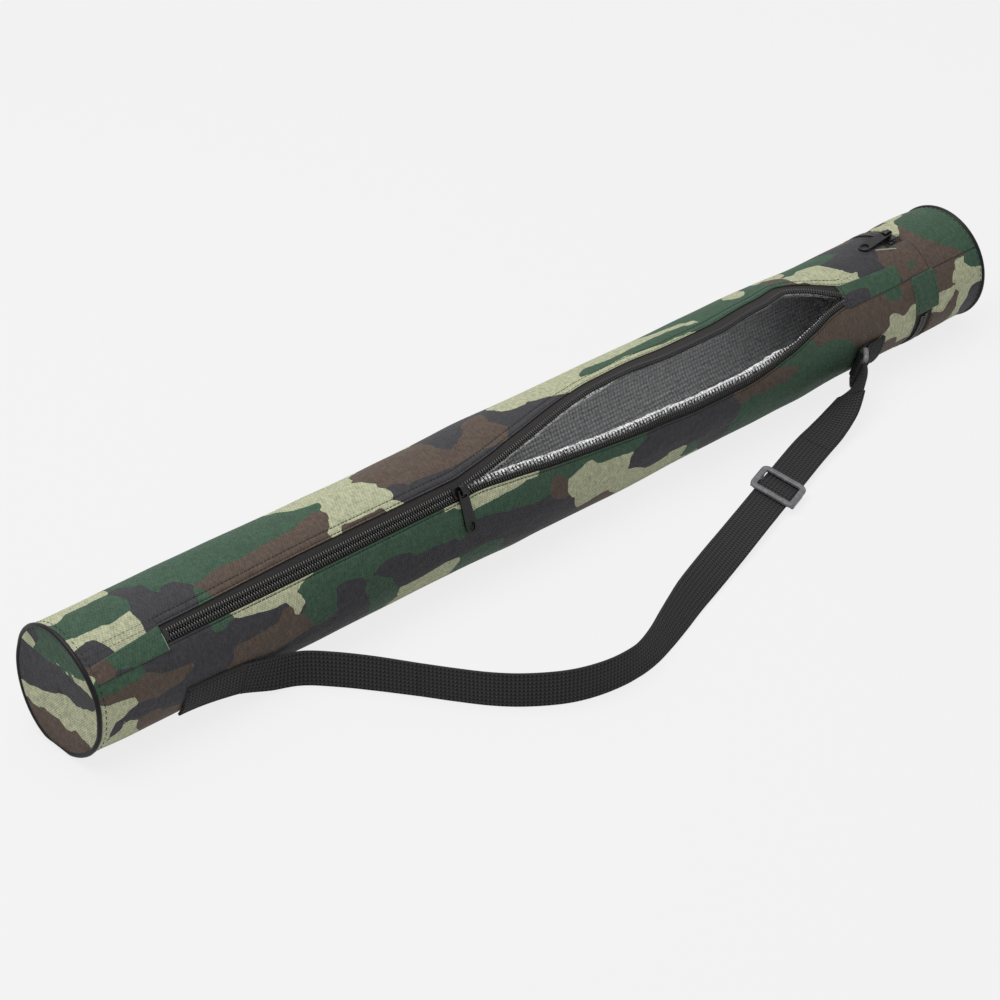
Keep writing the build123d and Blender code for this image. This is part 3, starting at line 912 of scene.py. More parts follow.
def spread(route, low, high, pitch):
    # places along a route at an even distance, however it runs round the tube
    steps = evenly(low, high, 0.5)
    run = [0.0]
    for a, b in zip(steps, steps[1:]):
        run.append(run[-1] + (route(b)[0] - route(a)[0]).length / mm)
    count = max(1, round(run[-1] / pitch))
    found, i = [], 0
    for n in range(count):
        reach = (n + 0.5) * run[-1] / count
        while run[i + 1] < reach:
            i += 1
        found.append(mix(steps[i], steps[i + 1], (reach - run[i]) / (run[i + 1] - run[i])))
    return found


def coilRoute(lip):
    def route(x):
        angle = lipAngle(lip, x) + lip["side"] * zipSizes["coilShift"]
        return tubePoint(x, angle, zipSizes["coilRadius"]), angle
    return route


for key, lip in lips.items():
    for region, (low, high) in lip["regions"].items():
        columns = evenly(low, high, wall["columns"][region])
        tapeRows = evenly(zipSizes["tapeReach"], zipSizes["tapeEdge"], 2.0)
        tape = wallPiece(titled("tape", region, key), columns, tapeRows, laidTape(lip), "tape")
        join(tape, lip, region, "zip_tape")
        stagger = zipSizes["pitch"] / 4 * lip["side"]
        route = coilRoute(lip)
        frames = [lineFrame(route, x + stagger) for x in spread(route, low, high, zipSizes["pitch"])]
        teeth = ribs(titled("teeth", region, key), frames, zipSizes["coil"], zipSizes["skew"] * lip["side"])
        join(teeth, lip, region, "zip_coil")
        name = titled("coilCord", region, key)
        cord = wallPiece(name, columns, zipSizes["cord"], laidCord(lip), "darkThread")
        join(cord, lip, region, "zip_coil")
        if region in moving:
            name, columns = titled("binding", region, key), evenly(low, high, 1.5)
            laid = laidBinding(lip, bindings[key])
            fold = wallPiece(name, columns, bindings[key]["rows"], laid, "binding", None)
            join(fold, lip, region, "foil_liner")
comb = {"pitch": 2.9, "size": (0.95, 3.3, 0.5), "shift": -1.0, "radius": 43.25, "skew": 8.0}


def combRoute(x, lip=lips["lower"]):
    angle = lipAngle(lip, x) + lip["side"] * comb["shift"]
    return tubePoint(x, angle, comb["radius"]), angle


for region in moving:
    low, high = lips["lower"]["regions"][region]
    frames = [lineFrame(combRoute, x) for x in spread(combRoute, low, high, comb["pitch"])]
    piece = blocks("combLower" + region.capitalize(), frames, comb["size"], "darkThread", comb["skew"])
    join(piece, lips["lower"], region, "zip_coil")
print("long zip sewn in")


# foil lining inside the wall
lining = {"pitch": 6.0, "rowPitch": 5.0, "near": tube["start"] + 5.4, "far": tube["edge"] - 3.2, "edge": 2.5}


def laidBore(x, angle):
    return x, angle, tube["bore"]


def liningTube(name, low, high):
    columns = evenly(low, high, lining["pitch"])
    return wallPiece(name, columns, allRound(lining["rowPitch"]), laidBore, "liner", toAxis, close=True)


piece = liningTube("liningNear", lining["near"], mouthIn)
finishPiece(piece, "bag", "foil_liner", "body_liner", "near_foam", "ramp_foam", "mouth_foam", "far_foam")
finishPiece(liningTube("liningFar", mouthOut, lining["far"]), "bag", "foil_liner")
for key, lip in lips.items():
    def laidLining(x, step, lip=lip):
        return x, mix(lip["far"], lipAngle(lip, x) + lip["side"] * lining["edge"], step), tube["bore"]
    for region in moving:
        name, columns = titled("lining", region, key), evenly(*lip["regions"][region], 4.0)
        piece = wallPiece(name, columns, evenly(0, 1, 0.03), laidLining, "liner", toAxis)
        follow(piece, lip, region, "foil_liner")
print("lining laid")


# seams: rows of stitches along the hems and tabs
stitch = {
    "pitch": 3.1,
    "rimPitch": 4.4,
    "size": (2.3, 0.42, 0.34),
    "sunk": 0.12,
    "skew": 3.0,
    "rows": {"upper": (2.1, 8.0), "lower": (2.1,)},
    "ends": (6.0, 4.0),  # the upper rows run on to this far from the tube's start and edge
}


def threadRow(name, route, low, high, finish="darkThread", pitch=None):
    frames = [lineFrame(route, x) for x in spread(route, low, high, pitch or stitch["pitch"])]
    return blocks(name, frames, stitch["size"], finish, stitch["skew"])


def seamRoute(lip, shift):
    def route(x):
        angle = lipAngle(lip, x) + lip["side"] * (hemShift(lip, x) + shift)
        return tubePoint(x, angle, tube["radius"] - stitch["sunk"]), angle
    return route


def ringRoute(x, lift):
    def route(angle):
        return tubePoint(x, angle, tube["radius"] + lift), angle
    return route


for key, lip in lips.items():
    for i, shift in enumerate(stitch["rows"][key]):
        for region, (low, high) in lip["regions"].items():
            if region == "near" and key == "upper":
                low = tube["start"] + stitch["ends"][0]
            if region == "far" and key == "upper":
                high = tube["edge"] - stitch["ends"][1]
            row = threadRow(titled("seam", region, key) + str(i + 1), seamRoute(lip, shift), low, high)
            join(row, lip, region, "zip_tape")
print("hems stitched")


# cloth tabs over the zip's two ends, and the hinge patch over the end zip
def turnedEdges(low, high, unit, pitch):
    # (place, share of the full height) from one turned edge to the other
    edge, inside = [(0.0, -0.2), (0.25, 0.75), (0.8, 1.0), (1.6, 1.0)], 3.5 * unit
    spots = [(low + roll * unit, height) for roll, height in edge]
    spots += [(spot, 1.0) for spot in evenly(low + inside, high - inside, pitch)]
    return spots + [(high - roll * unit, height) for roll, height in reversed(edge)]


def patchPiece(name, reach, edges, lift, thick=0.75, slant=0.0, rise=0.0, camo="tabs"):
    (low, high), (bottom, top) = reach, edges

    def laid(column, row):
        (x, columnHeight), (angle, rowHeight) = column, row
        along = (x - low) / (high - low)
        lean = slant * along * (angle - bottom) / (top - bottom)
        lifted = lift + rise * min(max(along, 0.0), 1.0)
        return x, angle + lean, tube["radius"] + lifted + thick * min(columnHeight, rowHeight)

    columns = turnedEdges(low, high, 1.0, 3.0)
    rows = turnedEdges(bottom, top, math.degrees(1 / tube["radius"]), 2.5)
    return wallPiece(name, columns, rows, laid, "camo", camo=camo)


nearTabLow, nearTabHigh = spanOf("near_zip_tab")
farTabLow, farTabHigh = spanOf("far_zip_tab")
tabs = {
    "near": {
        "edges": (30.5, 46.5), "slant": 6.5, "reach": (nearTabLow[0] + 0.5, nearTabHigh[0]),
        "seam": nearTabHigh[0] - 1.0, "thread": ("paleThread", 2.25)},
    "far": {
        "edges": (37.0, 62.0), "slant": -6.0, "reach": (farTabLow[0], farTabHigh[0] - 0.2),
        "seam": farTabLow[0] + 2.2, "thread": ("darkThread", 4.0)},
}
hinge = {
    "patch": {"edges": (-1.0, 37.6), "reach": (tube["lidZip"] - 10.5, tube["lidZip"] + 15.0), "lift": 0.55},
    "flap": {"edges": (37.2, 77.0), "reach": (tube["lidZip"] - 12.0, tube["lidEdge"] + 2.6), "lift": -1.1},
    "bend": 5.0,
    "seam": {"inside": 2.4, "lift": 1.25, "angles": (1, 36), "thread": ("darkThread", 4.0)},
}
for name, tab in tabs.items():
    piece = patchPiece(name + "Tab", tab["reach"], tab["edges"], 0.05, slant=tab["slant"])
    finishPiece(piece, "bag", "camo_fabric", name + "_zip_tab")
    bottom, top = tab["edges"]
    row = threadRow(name + "TabSeam", ringRoute(tab["seam"], 0.9), bottom + 1, top - 1, *tab["thread"])
    finishPiece(row, "bag", "zip_tape")


def overHinge(piece, *stands):
    finishPiece(piece, None, "camo_fabric", *stands)
    start, end = (Vector((tube["lidZip"] + sign * hinge["bend"], 0, tube["axis"])) * mm for sign in (-1, 1))
    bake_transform(piece)


part = hinge["patch"]
overHinge(patchPiece("hingePatch", part["reach"], part["edges"], part["lift"]), "hinge_patch")
part = hinge["flap"]
overHinge(patchPiece("hingeFlap", part["reach"], part["edges"], part["lift"], 0.6, rise=1.0, camo="wall"))
patchLow, patchHigh = hinge["patch"]["reach"]
seam = hinge["seam"]
for name, x, body in (
    ("hingeSeamBody", patchLow + seam["inside"], "bag"),
    ("hingeSeamLid", patchHigh - seam["inside"], "lid"),
):
    row = threadRow(name, ringRoute(x, seam["lift"]), *seam["angles"], *seam["thread"])
    finishPiece(row, body, "camo_fabric")

# dark lines where the wall's panel is joined, and a painted shadow: a dark strip along the fold of the flap
joinLine = {"angle": 37.3, "rows": [(-0.7, -0.3), (-0.35, 0.16), (0.0, 0.24), (0.35, 0.16), (0.7, -0.3)]}
foldShadowLine = {
    "x": hinge["flap"]["reach"][1] + 0.3,
    "lift": 0.05,
    "angles": (38.0, 74.0),
    "rows": [(-0.5, -0.3), (-0.25, 0.1), (0.0, 0.16), (0.25, 0.1), (0.5, -0.3)],
}


def laidJoin(x, row):
    return x, joinLine["angle"] + row[0], tube["radius"] + row[1]


def laidFold(column, angle):
    return foldShadowLine["x"] + column[0], angle, tube["radius"] + foldShadowLine["lift"] + column[1]


# painted shadow: a strip of dark thread colour laid just past the flap's folded edge
piece = wallPiece("foldShadowLine", foldShadowLine["rows"], evenly(*foldShadowLine["angles"], 3.0), laidFold, "darkThread")
finishPiece(piece, "lid", "zip_tape")
for name, low, high, body in (
    ("joinLineBody", farTabHigh[0] - 3, patchLow + 1, "bag"),
    ("joinLineLid", patchHigh - 1, tube["end"] - 1.5, "lid"),
):
    piece = wallPiece(name, evenly(low, high, 3.0), joinLine["rows"], laidJoin, "darkThread")
    finishPiece(piece, body, "zip_tape")
tack = {"from": (320.0, 80.0), "to": (336.0, 71.0), "lift": 0.2, "pitch": 2.2, "size": (2.1, 1.3, 0.5)}


def tackRoute(x):
    (low, first), (high, last) = tack["from"], tack["to"]
    angle = mix(first, last, (x - low) / (high - low))
    return tubePoint(x, angle, tube["radius"] + tack["lift"]), angle


frames = [lineFrame(tackRoute, x) for x in spread(tackRoute, tack["from"][0], tack["to"][0], tack["pitch"])]
finishPiece(blocks("barTack", frames, tack["size"], "paleThread"), "bag", "zip_tape")
print("tabs sewn on")


# both ends: cloth disc, glossy piping, and the lid with its zip
endSizes = {
    "disc": 41.6,
    "dome": 1.6,
    "inset": {"near": -0.9, "lid": 0.6},
    "lining": 5.2,
    "piping": {"thick": 1.7, "inside": 0.9, "sunk": 0.5},
    "seam": {"inside": 4.6, "lift": 0.1, "angles": (-130, 230)},
}


def discPiece(name, x, inward, finish, radius, camo=None):
    radii = [0.0, 0.05] + evenly(0.12, 1.0, 0.08)

    def laid(angle, reach):
        a, lobe = math.radians(angle), reach * 1.4
        dent = noise.noise(Vector((x * 0.1, lobe * math.cos(a), lobe * math.sin(a))))
        push = endSizes["dome"] * (1 - reach * reach) * (0.35 + dent)
        centre = Vector((x + inward * push, 0, tube["axis"])) * mm
        if reach == 0:
            return centre, (0, 0)
        point = (tubePoint(x, angle, radius) - Vector((x, 0, tube["axis"])) * mm) * reach + centre
        return point, (point.y, point.z)

    bm = drawnGrid(evenly(0, 360, 5.0), radii, laid)
    weld(bm)
    return remember(settle(bm, name, finish, lambda centre: Vector((-inward, 0, 0))), camo)


def hoopPiece(name, x, radius, thick, finish):
    def laid(angle, turn):
        a = math.radians(turn)
        point = tubePoint(x + thick * math.cos(a), angle, radius + thick * math.sin(a))
        return point, (math.radians(angle) * radius * mm, a * thick * mm)

    bm = drawnGrid(evenly(0, 360, 2.5), evenly(0, 360, 30.0), laid)
    weld(bm)
    turnOut(bm)
    return remember(settle(bm, name, finish))


for name, x, inward, body in (("near", tube["start"], 1, "bag"), ("lid", tube["end"], -1, "lid")):
    face = x + inward * endSizes["inset"][name]
    piece = discPiece(name + "Disc", face, inward, "camo", endSizes["disc"], "disc")
    finishPiece(piece, body, "camo_fabric", name + "_disc", name + "_disc_foam")
    piece = discPiece(name + "DiscLining", x + inward * endSizes["lining"], -inward, "liner", tube["bore"])
    finishPiece(piece, body, "foil_liner", name + "_disc_liner")
    piping, seam = endSizes["piping"], endSizes["seam"]
    hoop = hoopPiece(name + "Piping", x + inward * (endSizes["inset"][name] + piping["inside"]),
                     tube["radius"] - piping["sunk"], piping["thick"], "piping")
    finishPiece(hoop, body, "piping", name + "_piping")
    route = ringRoute(x + inward * seam["inside"], seam["lift"])
    row = threadRow(name + "PipingSeam", route, *seam["angles"], "darkThread", stitch["rimPitch"])
    finishPiece(row, body, "piping")

lidWall = {
    "hem": [(0.0, -0.7), (0.05, -0.2), (0.4, 0.25), (1.0, 0.3), (1.9, -0.25), (2.8, 0.05), (4.0, 0.05)],
    "seam": {"inside": 1.9, "lift": -0.08, "angles": (80, 350)},
}


def laidHoop(column, angle):
    x, lift = column
    return x, angle, tube["radius"] + lift


columns = [(tube["lidEdge"] + reach, lift) for reach, lift in lidWall["hem"]]
columns += [(x, 0.0) for x in evenly(tube["lidEdge"] + 6, tube["end"] - 1.6, 4.0)]
piece = wallPiece("lidWall", columns, around360, laidHoop, "camo", camo="wall", close=True)
finishPiece(piece, "lid", "camo_fabric", "lid_shell")
bodyHem = [(tube["edge"] - reach, lift) for reach, lift in reversed(lidWall["hem"])]
piece = wallPiece("wallEndHem", bodyHem, around360, laidHoop, "camo", camo="wall", close=True)
finishPiece(piece, "bag", "camo_fabric")
seam = lidWall["seam"]
for name, x, body in (
    ("lidHemSeam", tube["lidEdge"] + seam["inside"], "lid"),
    ("bodyHemSeam", tube["edge"] - seam["inside"], "bag"),
):
    row = threadRow(name, ringRoute(x, seam["lift"]), *seam["angles"], "darkThread", stitch["rimPitch"])
    finishPiece(row, body, "camo_fabric")
piece = liningTube("lidLining", tube["lidEdge"] + 3.2, tube["end"] - 5.0)
finishPiece(piece, "lid", "foil_liner", "lid_liner", "lid_foam")

endZip = {
    "angles": (79.0, 355.0),
    "pitch": 2.6,
    "size": (1.5, 3.1, 1.5),
    "skew": -6.0,
    "reach": 1.95,
    "sunk": -0.12,
    "floor": 0.72,  # lowest that a tooth's middle may lie
    "stagger": {-1: 0.25, 1: 0.75},
    "tape": {"rows": (0.3, 3.5, 6.5, 9.5, 12.5), "sunk": -0.75},
    "rim": [(1.0, 42.3), (1.2, 41.6), (2.6, 40.0), (6.5, 38.7), (12.6, 38.15)],
    "crinkle": 0.5,
}
for key, sign, body in (("Body", -1, "bag"), ("Lid", 1, "lid")):
    mid = tube["lidZip"]
    tapeColumns = [(mid + sign * reach, endZip["tape"]["sunk"]) for reach in endZip["tape"]["rows"]][::sign]
    piece = wallPiece("endTape" + key, tapeColumns, around360, laidHoop, "tape", close=True)
    finishPiece(piece, body, "zip_tape", "end_tape_" + key.lower())
    rim = [(mid + sign * reach, radius) for reach, radius in endZip["rim"]][::sign]

    def laidRim(column, angle):
        x, radius = column
        fold = endZip["crinkle"] * noise.noise(Vector((x * 0.25, angle * 0.35, sign)))
        return x + fold * freedom(radius), angle, radius

    piece = wallPiece("endBinding" + key, rim, around360, laidRim, "binding", toAxis, close=True)
    finishPiece(piece, body, "foil_liner")
    route = ringRoute(mid + sign * endZip["reach"], endZip["sunk"])
    frames = []
    for angle in evenly(*endZip["angles"], endZip["pitch"])[:-1]:
        point, along, _, off = lineFrame(route, angle + endZip["stagger"][sign] * endZip["pitch"])
        point.z = max(point.z, endZip["floor"] * mm)
        frames.append((point, along, off.cross(along), off))
    teeth = ribs("endTeeth" + key, frames, endZip["size"], endZip["skew"] * sign)
    finishPiece(teeth, body, "zip_coil", "end_coil_" + key.lower())
print("ends closed")


# shoulder strap: webbing that follows the stations, its sewn end, loops and second layer
strap = {
    "width": 25.4,
    "thick": 1.5,
    "sewn": (-350.0, -303.0, -24.7),
    "line": [  # (x, distance from the tube, height of the lower edge, turn from lying flat)
        (-292, -0.8, 5.3, 99), (-280, 0.7, 2.2, 91), (-262, 6.0, 0.2, 86), (-247, 21.2, 0.2, 85),
        (-232, 40, 0, 86), (-215, 64.5, 0, 90), (-202, 83.5, 0, 90), (-189, 101, 0, 90),
        (-175, 115.5, 0, 90), (-156, 129.5, 0, 90),
        (-140, 137, 0, 90), (-121, 141.5, 0, 90), (-101, 142, 0, 87), (-82, 137.5, 0, 76), (-60, 128.5, 0, 64),
        (-42, 120.5, 0, 56), (-22, 111.5, 0, 48), (5, 101, 0.5, 38), (25, 93.5, 1.5, 30), (45, 86.3, 3, 22),
        (73, 76.1, 4, 17.6), (159, 44.8, 4, 17.6), (180, 37.5, 5, 12), (200, 31.5, 7.5, 3),
        (222, 24.5, 8.5, -14), (240, 17, 8.5, -38),
    ],
    "straight": 20,  # the stretch after this station carries the tri-glide
    "rounding": 0.5,
    "nearJoint": 6,  # stations from either end at which the strap is cut into its near, main and far pieces
    "farJoint": 4,
    "glide": 0.5,
    "bulge": (2.0, 5.6),
    "layerGap": 0.35,
    "ring": (267.0, -21.0, 11.0, 45.0),  # x, angle, span between the bars, lean
    "bar": 1.9,
    "loop": 1.2,
    "stub": {"narrower": 0.8, "shift": -0.7, "starts": 3.0},
    "leave": (-41.7, 20.2, 12.0),  # y, z and lean of the webbing where it leaves the sewn end
    "peel": (-346.0, 45.0, 0.25),  # where the sewn end starts to come off the tube, over what length, from what share
}


leaveLean = math.radians(strap["leave"][2])
leaveSide = Vector((0, -math.sin(leaveLean), math.cos(leaveLean)))
leaveFace = Vector((1, 0, 0)).cross(leaveSide)


def strapStations():
    places = []
    for x, reach, lift, twist in strap["line"]:
        tilt = math.radians(twist)
        rise = strap["width"] / 2 * abs(math.sin(tilt)) + strap["thick"] / 2 * abs(math.cos(tilt))
        places.append((Vector((x, -tube["radius"] - reach, lift + rise)), tilt))
    stations = [(Vector((strap["sewn"][1] + 0.3, *strap["leave"][:2])), Vector((1, 0, 0)), leaveSide)]
    start = stations[0][0]
    straight = (strap["straight"], strap["straight"] + 1)
    for i, (centre, tilt) in enumerate(places):
        before, after = straight if i in straight else (i - 1, min(i + 1, len(places) - 1))
        along = (places[after][0] - (places[before][0] if before >= 0 else start)).normalized()
        left = Vector((0, 0, 1)).cross(along).normalized()
        stations.append((centre, along, left * math.cos(tilt) + along.cross(left) * math.sin(tilt)))
    return stations


def strapPath(stations, pitch):
    # an even line of (place, along, side, length so far) through the stations
    line, run = [], 0.0
    for (a, alongA, sideA), (b, alongB, sideB) in zip(stations, stations[1:]):
        reach = (b - a).length
        count = max(1, round(reach / pitch))
        for i in range(count):
            t = i / count
            curve = (
                a * (2 * t ** 3 - 3 * t ** 2 + 1) + alongA * reach * (t ** 3 - 2 * t ** 2 + t)
                + b * (3 * t ** 2 - 2 * t ** 3) + alongB * reach * (t ** 3 - t ** 2))
            line.append((curve, alongA.lerp(alongB, t).normalized(), sideA.lerp(sideB, t)))
    line.append(stations[-1])
    out = []
    for i, (point, along, side) in enumerate(line):
        if i:
            run += (point - line[i - 1][0]).length
        before, after = line[max(i - 1, 0)][0], line[min(i + 1, len(line) - 1)][0]
        if 0 < i < len(line) - 1:
            along = (after - before).normalized()
        side = (side - along * side.dot(along)).normalized()
        out.append((point, along, side, run))
    return out


def bandOutline(width, thick, rounding):
    # closed cross-section of the webbing: (across, off the face)
    half, deep = width / 2, thick / 2
    outline = []
    for i in range(4):
        for turn in (0, 30, 60):
            a = math.radians(90 * i + turn)
            cornerX = (half - rounding) * (1 if i in (0, 3) else -1)
            cornerY = (deep - rounding) * (1 if i in (0, 1) else -1)
            outline.append((cornerX + rounding * math.cos(a), cornerY + rounding * math.sin(a)))
        a = math.radians(90 * i + 90)
        outline.append((cornerX + rounding * math.cos(a), cornerY + rounding * math.sin(a)))
        if i in (0, 2):
            sign = -1 if i == 0 else 1
            outline += [(sign * half * share, deep * -sign) for share in (-0.66, -0.33, 0.0, 0.33, 0.66)]
    return outline + outline[:1]


def bandPiece(name, line, finish="webbing", shift=0.0, thick=None, width=None, offset=None):
    outline = bandOutline(width or strap["width"], thick or strap["thick"], strap["rounding"])

    def laid(station, spot):
        point, along, side, run = station
        face = along.cross(side).normalized()
        out = shift + (offset(run) if offset else 0.0)
        place = (point + side * spot[0] + face * (spot[1] + out)) * mm
        return place, (run * mm, spot[0] * mm)

    bm = drawnGrid(line, outline, laid)
    weld(bm)
    rims = [edge for edge in bm.edges if edge.is_boundary]
    bmesh.ops.holes_fill(bm, edges=rims, sides=0)
    turnOut(bm)
    piece = remember(settle(bm, name, finish))
    for polygon in piece.data.polygons:
        polygon.use_smooth = len(polygon.vertices) <= 4
    return piece


stations = strapStations()
whole = strapPath(stations, 3.0)
seatBefore, seatAfter = stations[strap["straight"] + 1], stations[strap["straight"] + 2]
seat = seatBefore[0].lerp(seatAfter[0], strap["glide"])
seatAlong = (seatAfter[0] - seatBefore[0]).normalized()
seatFace = seatBefore[1].cross(seatBefore[2]).normalized()
seatSide = seatFace.cross(seatAlong)
seatRun = min(whole, key=lambda station: (station[0] - seat).length)[3]


def overBar(run):
    height, reach = strap["bulge"]
    return height * math.exp(-((run - seatRun) / reach) ** 2)


def bendBetween(piece, first, second, start, end, *stands):
    finishPiece(piece, None, "webbing", *stands)
    start[0] * mm
    end[0] * mm
    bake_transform(piece)


def nearestTo(place):
    return min(range(len(whole)), key=lambda i: (whole[i][0] - place).length)


splitAt = nearestTo(stations[strap["nearJoint"]][0])
farAt = nearestTo(stations[-strap["farJoint"]][0])
bendBetween(bandPiece("strapNear", whole[:splitAt + 1]), "bag", "strap", whole[2], whole[splitAt])
piece = bandPiece("strapMain", whole[splitAt:farAt + 1], offset=overBar)
finishPiece(piece, "strap", "webbing", "strap_webbing")
farRun = whole[farAt:]
bendBetween(bandPiece("strapFar", farRun), "strap", "bag", farRun[1], farRun[-2])
secondLayer = [station for station in whole[:farAt + 1] if station[3] > seatRun + 2.5]
secondShift = -(strap["thick"] + strap["layerGap"])
piece = bandPiece("strapSecondLayer", secondLayer, shift=secondShift)
halfway = secondLayer[len(secondLayer) // 2]
bendBetween(piece, "strap", "tri_glide", halfway, secondLayer[0], "strap_return")
piece = bandPiece("strapSecondFar", farRun, shift=secondShift)
bendBetween(piece, "strap", "bag", farRun[1], farRun[-2])

ringX, ringAngle, ringSpan, ringLean = strap["ring"]
ringLift = tube["radius"] + 0.4 + strap["bar"] + strap["loop"]
firstBar = Vector((ringX, 0, tube["axis"])) + outward(ringAngle) * ringLift
ringTilt = math.radians(ringLean)
lean = Vector((-math.cos(ringTilt), 0, 0)) + outward(ringAngle) * math.sin(ringTilt)
secondBar = firstBar + lean * ringSpan
ringSide = around(ringAngle)
loopRadius = strap["bar"] + 0.1 + strap["loop"] / 2


def barLoop(centre, start, sweepTurn, side):
    # stations round a bar, from one direction through an angle
    other = side.cross(start)
    out = []
    for turn in evenly(0, sweepTurn, 20.0):
        a = math.radians(turn)
        radial = start * math.cos(a) + other * math.sin(a)
        tangent = (other * math.cos(a) - start * math.sin(a)) * (1 if sweepTurn > 0 else -1)
        out.append((centre + radial * loopRadius, tangent, side, math.radians(abs(turn)) * loopRadius))
    return out


endPoint, endAlong, endSide, _ = whole[-1]
seam = secondBar + lean * loopRadius
stub = strap["stub"]
line = strapPath([(endPoint - endAlong * stub["starts"], endAlong, endSide), (seam, -lean, -ringSide)], 1.5)
width = strap["width"] - stub["narrower"]
piece = bandPiece("strapLoopStub", line, thick=2 * strap["thick"], width=width, shift=stub["shift"])
finishPiece(piece, None, "webbing")
(endPoint + endAlong * 2) * mm
seam * mm
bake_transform(piece)
piece = bandPiece("strapRingLoop", barLoop(secondBar, lean, 359.0, ringSide), thick=strap["loop"])
finishPiece(piece, "ring", "webbing", "strap_ring_loop")

anchor = {"reach": 25.0, "layers": 2.6, "flat": 9.0, "seam": {"across": 11.5, "pitch": 3.0, "lift": 0.65}}


def anchorPath():
    # (x, radius, how straight across): tongue, loop round the first bar, and back under
    over = tube["radius"] + anchor["layers"]
    path = [(ringX + anchor["reach"] + 0.2, tube["radius"] + 0.2, 0.0)]
    path += [(ringX + reach, over, 0.0) for reach in (anchor["reach"], 20.0, 14.0, anchor["flat"])]
    path.append((ringX + 5.0, over + 0.8, 0.5))
    for turn in evenly(60, 250, 20.0):
        a = math.radians(turn)
        path.append((firstBar.x + loopRadius * math.cos(a), ringLift + loopRadius * math.sin(a), 1.0))
    path.append((ringX + 4.0, tube["radius"] + 0.7, 0.5))
    path.append((ringX + anchor["flat"], tube["radius"] + 0.6, 0.0))
    return path


def laidAnchor(spot, across):
    x, radius, straight = spot
    curved = tubePoint(x, ringAngle + math.degrees(across / tube["radius"]), radius)
    flat = (Vector((x, 0, tube["axis"])) + outward(ringAngle) * radius + ringSide * across) * mm
    return curved.lerp(flat, straight), (x * mm, across * mm)


bm = drawnGrid(anchorPath(), evenly(-strap["width"] / 2, strap["width"] / 2, 2.5), laidAnchor)
piece = remember(settle(bm, "ringTab", "webbing", lambda centre: outward(ringAngle)))
thickener = piece.modifiers.new("thickness", "SOLIDIFY")
thickener.thickness, thickener.offset = strap["loop"] * mm, 0.0
finishPiece(piece, "bag", "webbing", "ring_tab")


def tabThread(name, x, lift):
    seam, frames = anchor["seam"], []
    for across in evenly(-seam["across"], seam["across"], seam["pitch"]):
        angle = ringAngle + math.degrees(across / tube["radius"])
        frames.append(lineFrame(ringRoute(x, lift), angle))
    return blocks(name, frames, stitch["size"], "darkThread", stitch["skew"])


for i, reach in enumerate((anchor["reach"] - 2.5, anchor["flat"] + 1.5)):
    row = tabThread("ringTabSeam" + str(i + 1), ringX + reach, anchor["layers"] + anchor["seam"]["lift"])
    finishPiece(row, "bag", "webbing")

# sewn end of the strap, cut on the slant
sewn = {"slant": 2.6, "cut": 3.0, "lift": 1.5, "reach": 16.7}
# (share of the half width, lift): under the webbing, round one edge, over the face and down the other edge
rolls = [
    (0.4, 0.0), (0.0, 0.0), (-0.4, 0.0), (-0.7, 0.0), (-0.96, 0.0), (-1.0, 0.3), (-1.0, 1.1), (-0.97, 1.5),
    *[(share, 1.5) for share in evenly(-0.9, 0.9, 0.15)],
    (0.97, 1.5), (1.0, 1.1), (1.0, -0.4),
]


def sewnPoint(x, share, lift):
    # round the tube at the cut end, straight and free where the loose webbing starts
    curved = tubePoint(x, strap["sewn"][2] + share * sewn["reach"], tube["radius"] + lift)
    free = Vector((x, *strap["leave"][:2])) + leaveSide * share * strap["width"] / 2
    free += leaveFace * (lift - strap["thick"] / 2)
    along = min(max((x - strap["peel"][0]) / strap["peel"][1], 0.0), 1.0)
    return curved.lerp(free * mm, mix(strap["peel"][2], 1.0, along ** 1.7))


def laidSewn(column, row):
    step, capLift = column
    share, lift = row
    low = strap["sewn"][0] + sewn["cut"] + sewn["slant"] * (share + 1) / 2
    x = mix(low, strap["sewn"][1] + 1.5, step)
    return sewnPoint(x, share, min(lift, capLift)), (x * mm, share * strap["width"] / 2 * mm)


columns = [(0.0, -0.4), (0.0, 1.1), (0.012, 1.5)] + [(step, 1.5) for step in evenly(0.05, 1, 0.06)]
piece = remember(settle(drawnGrid(columns, rolls, laidSewn), "strapSewnEnd", "webbing", offAxis))
finishPiece(piece, "bag", "webbing", "strap_sewn_end")


def sewnRoute(share):
    def route(x):
        return sewnPoint(x, share, sewn["lift"] + 0.02), strap["sewn"][2] + share * sewn["reach"]
    return route


for i, (share, low) in enumerate(((0.86, -343.5), (-0.86, -345.5))):
    row = threadRow("strapSewnSeam" + str(i + 1), sewnRoute(share), low, strap["sewn"][1] - 1)
    finishPiece(row, "bag", "webbing")
print("strap laid")


# tri-glide: rounded frame over the strap, middle bar under it
glide = {
    "length": 28.5,
    "width": 34.5,
    "bar": 4.6,
    "side": 3.8,
    "corner": 4.4,
    "thick": 3.0,
    "over": 1.1,
    "brace": 17.0,
    "bevel": 0.8,
    "squareness": 0.6,
}


def onSeat(x, y, z):
    return (seat + seatAlong * x + seatSide * y + seatFace * z) * mm


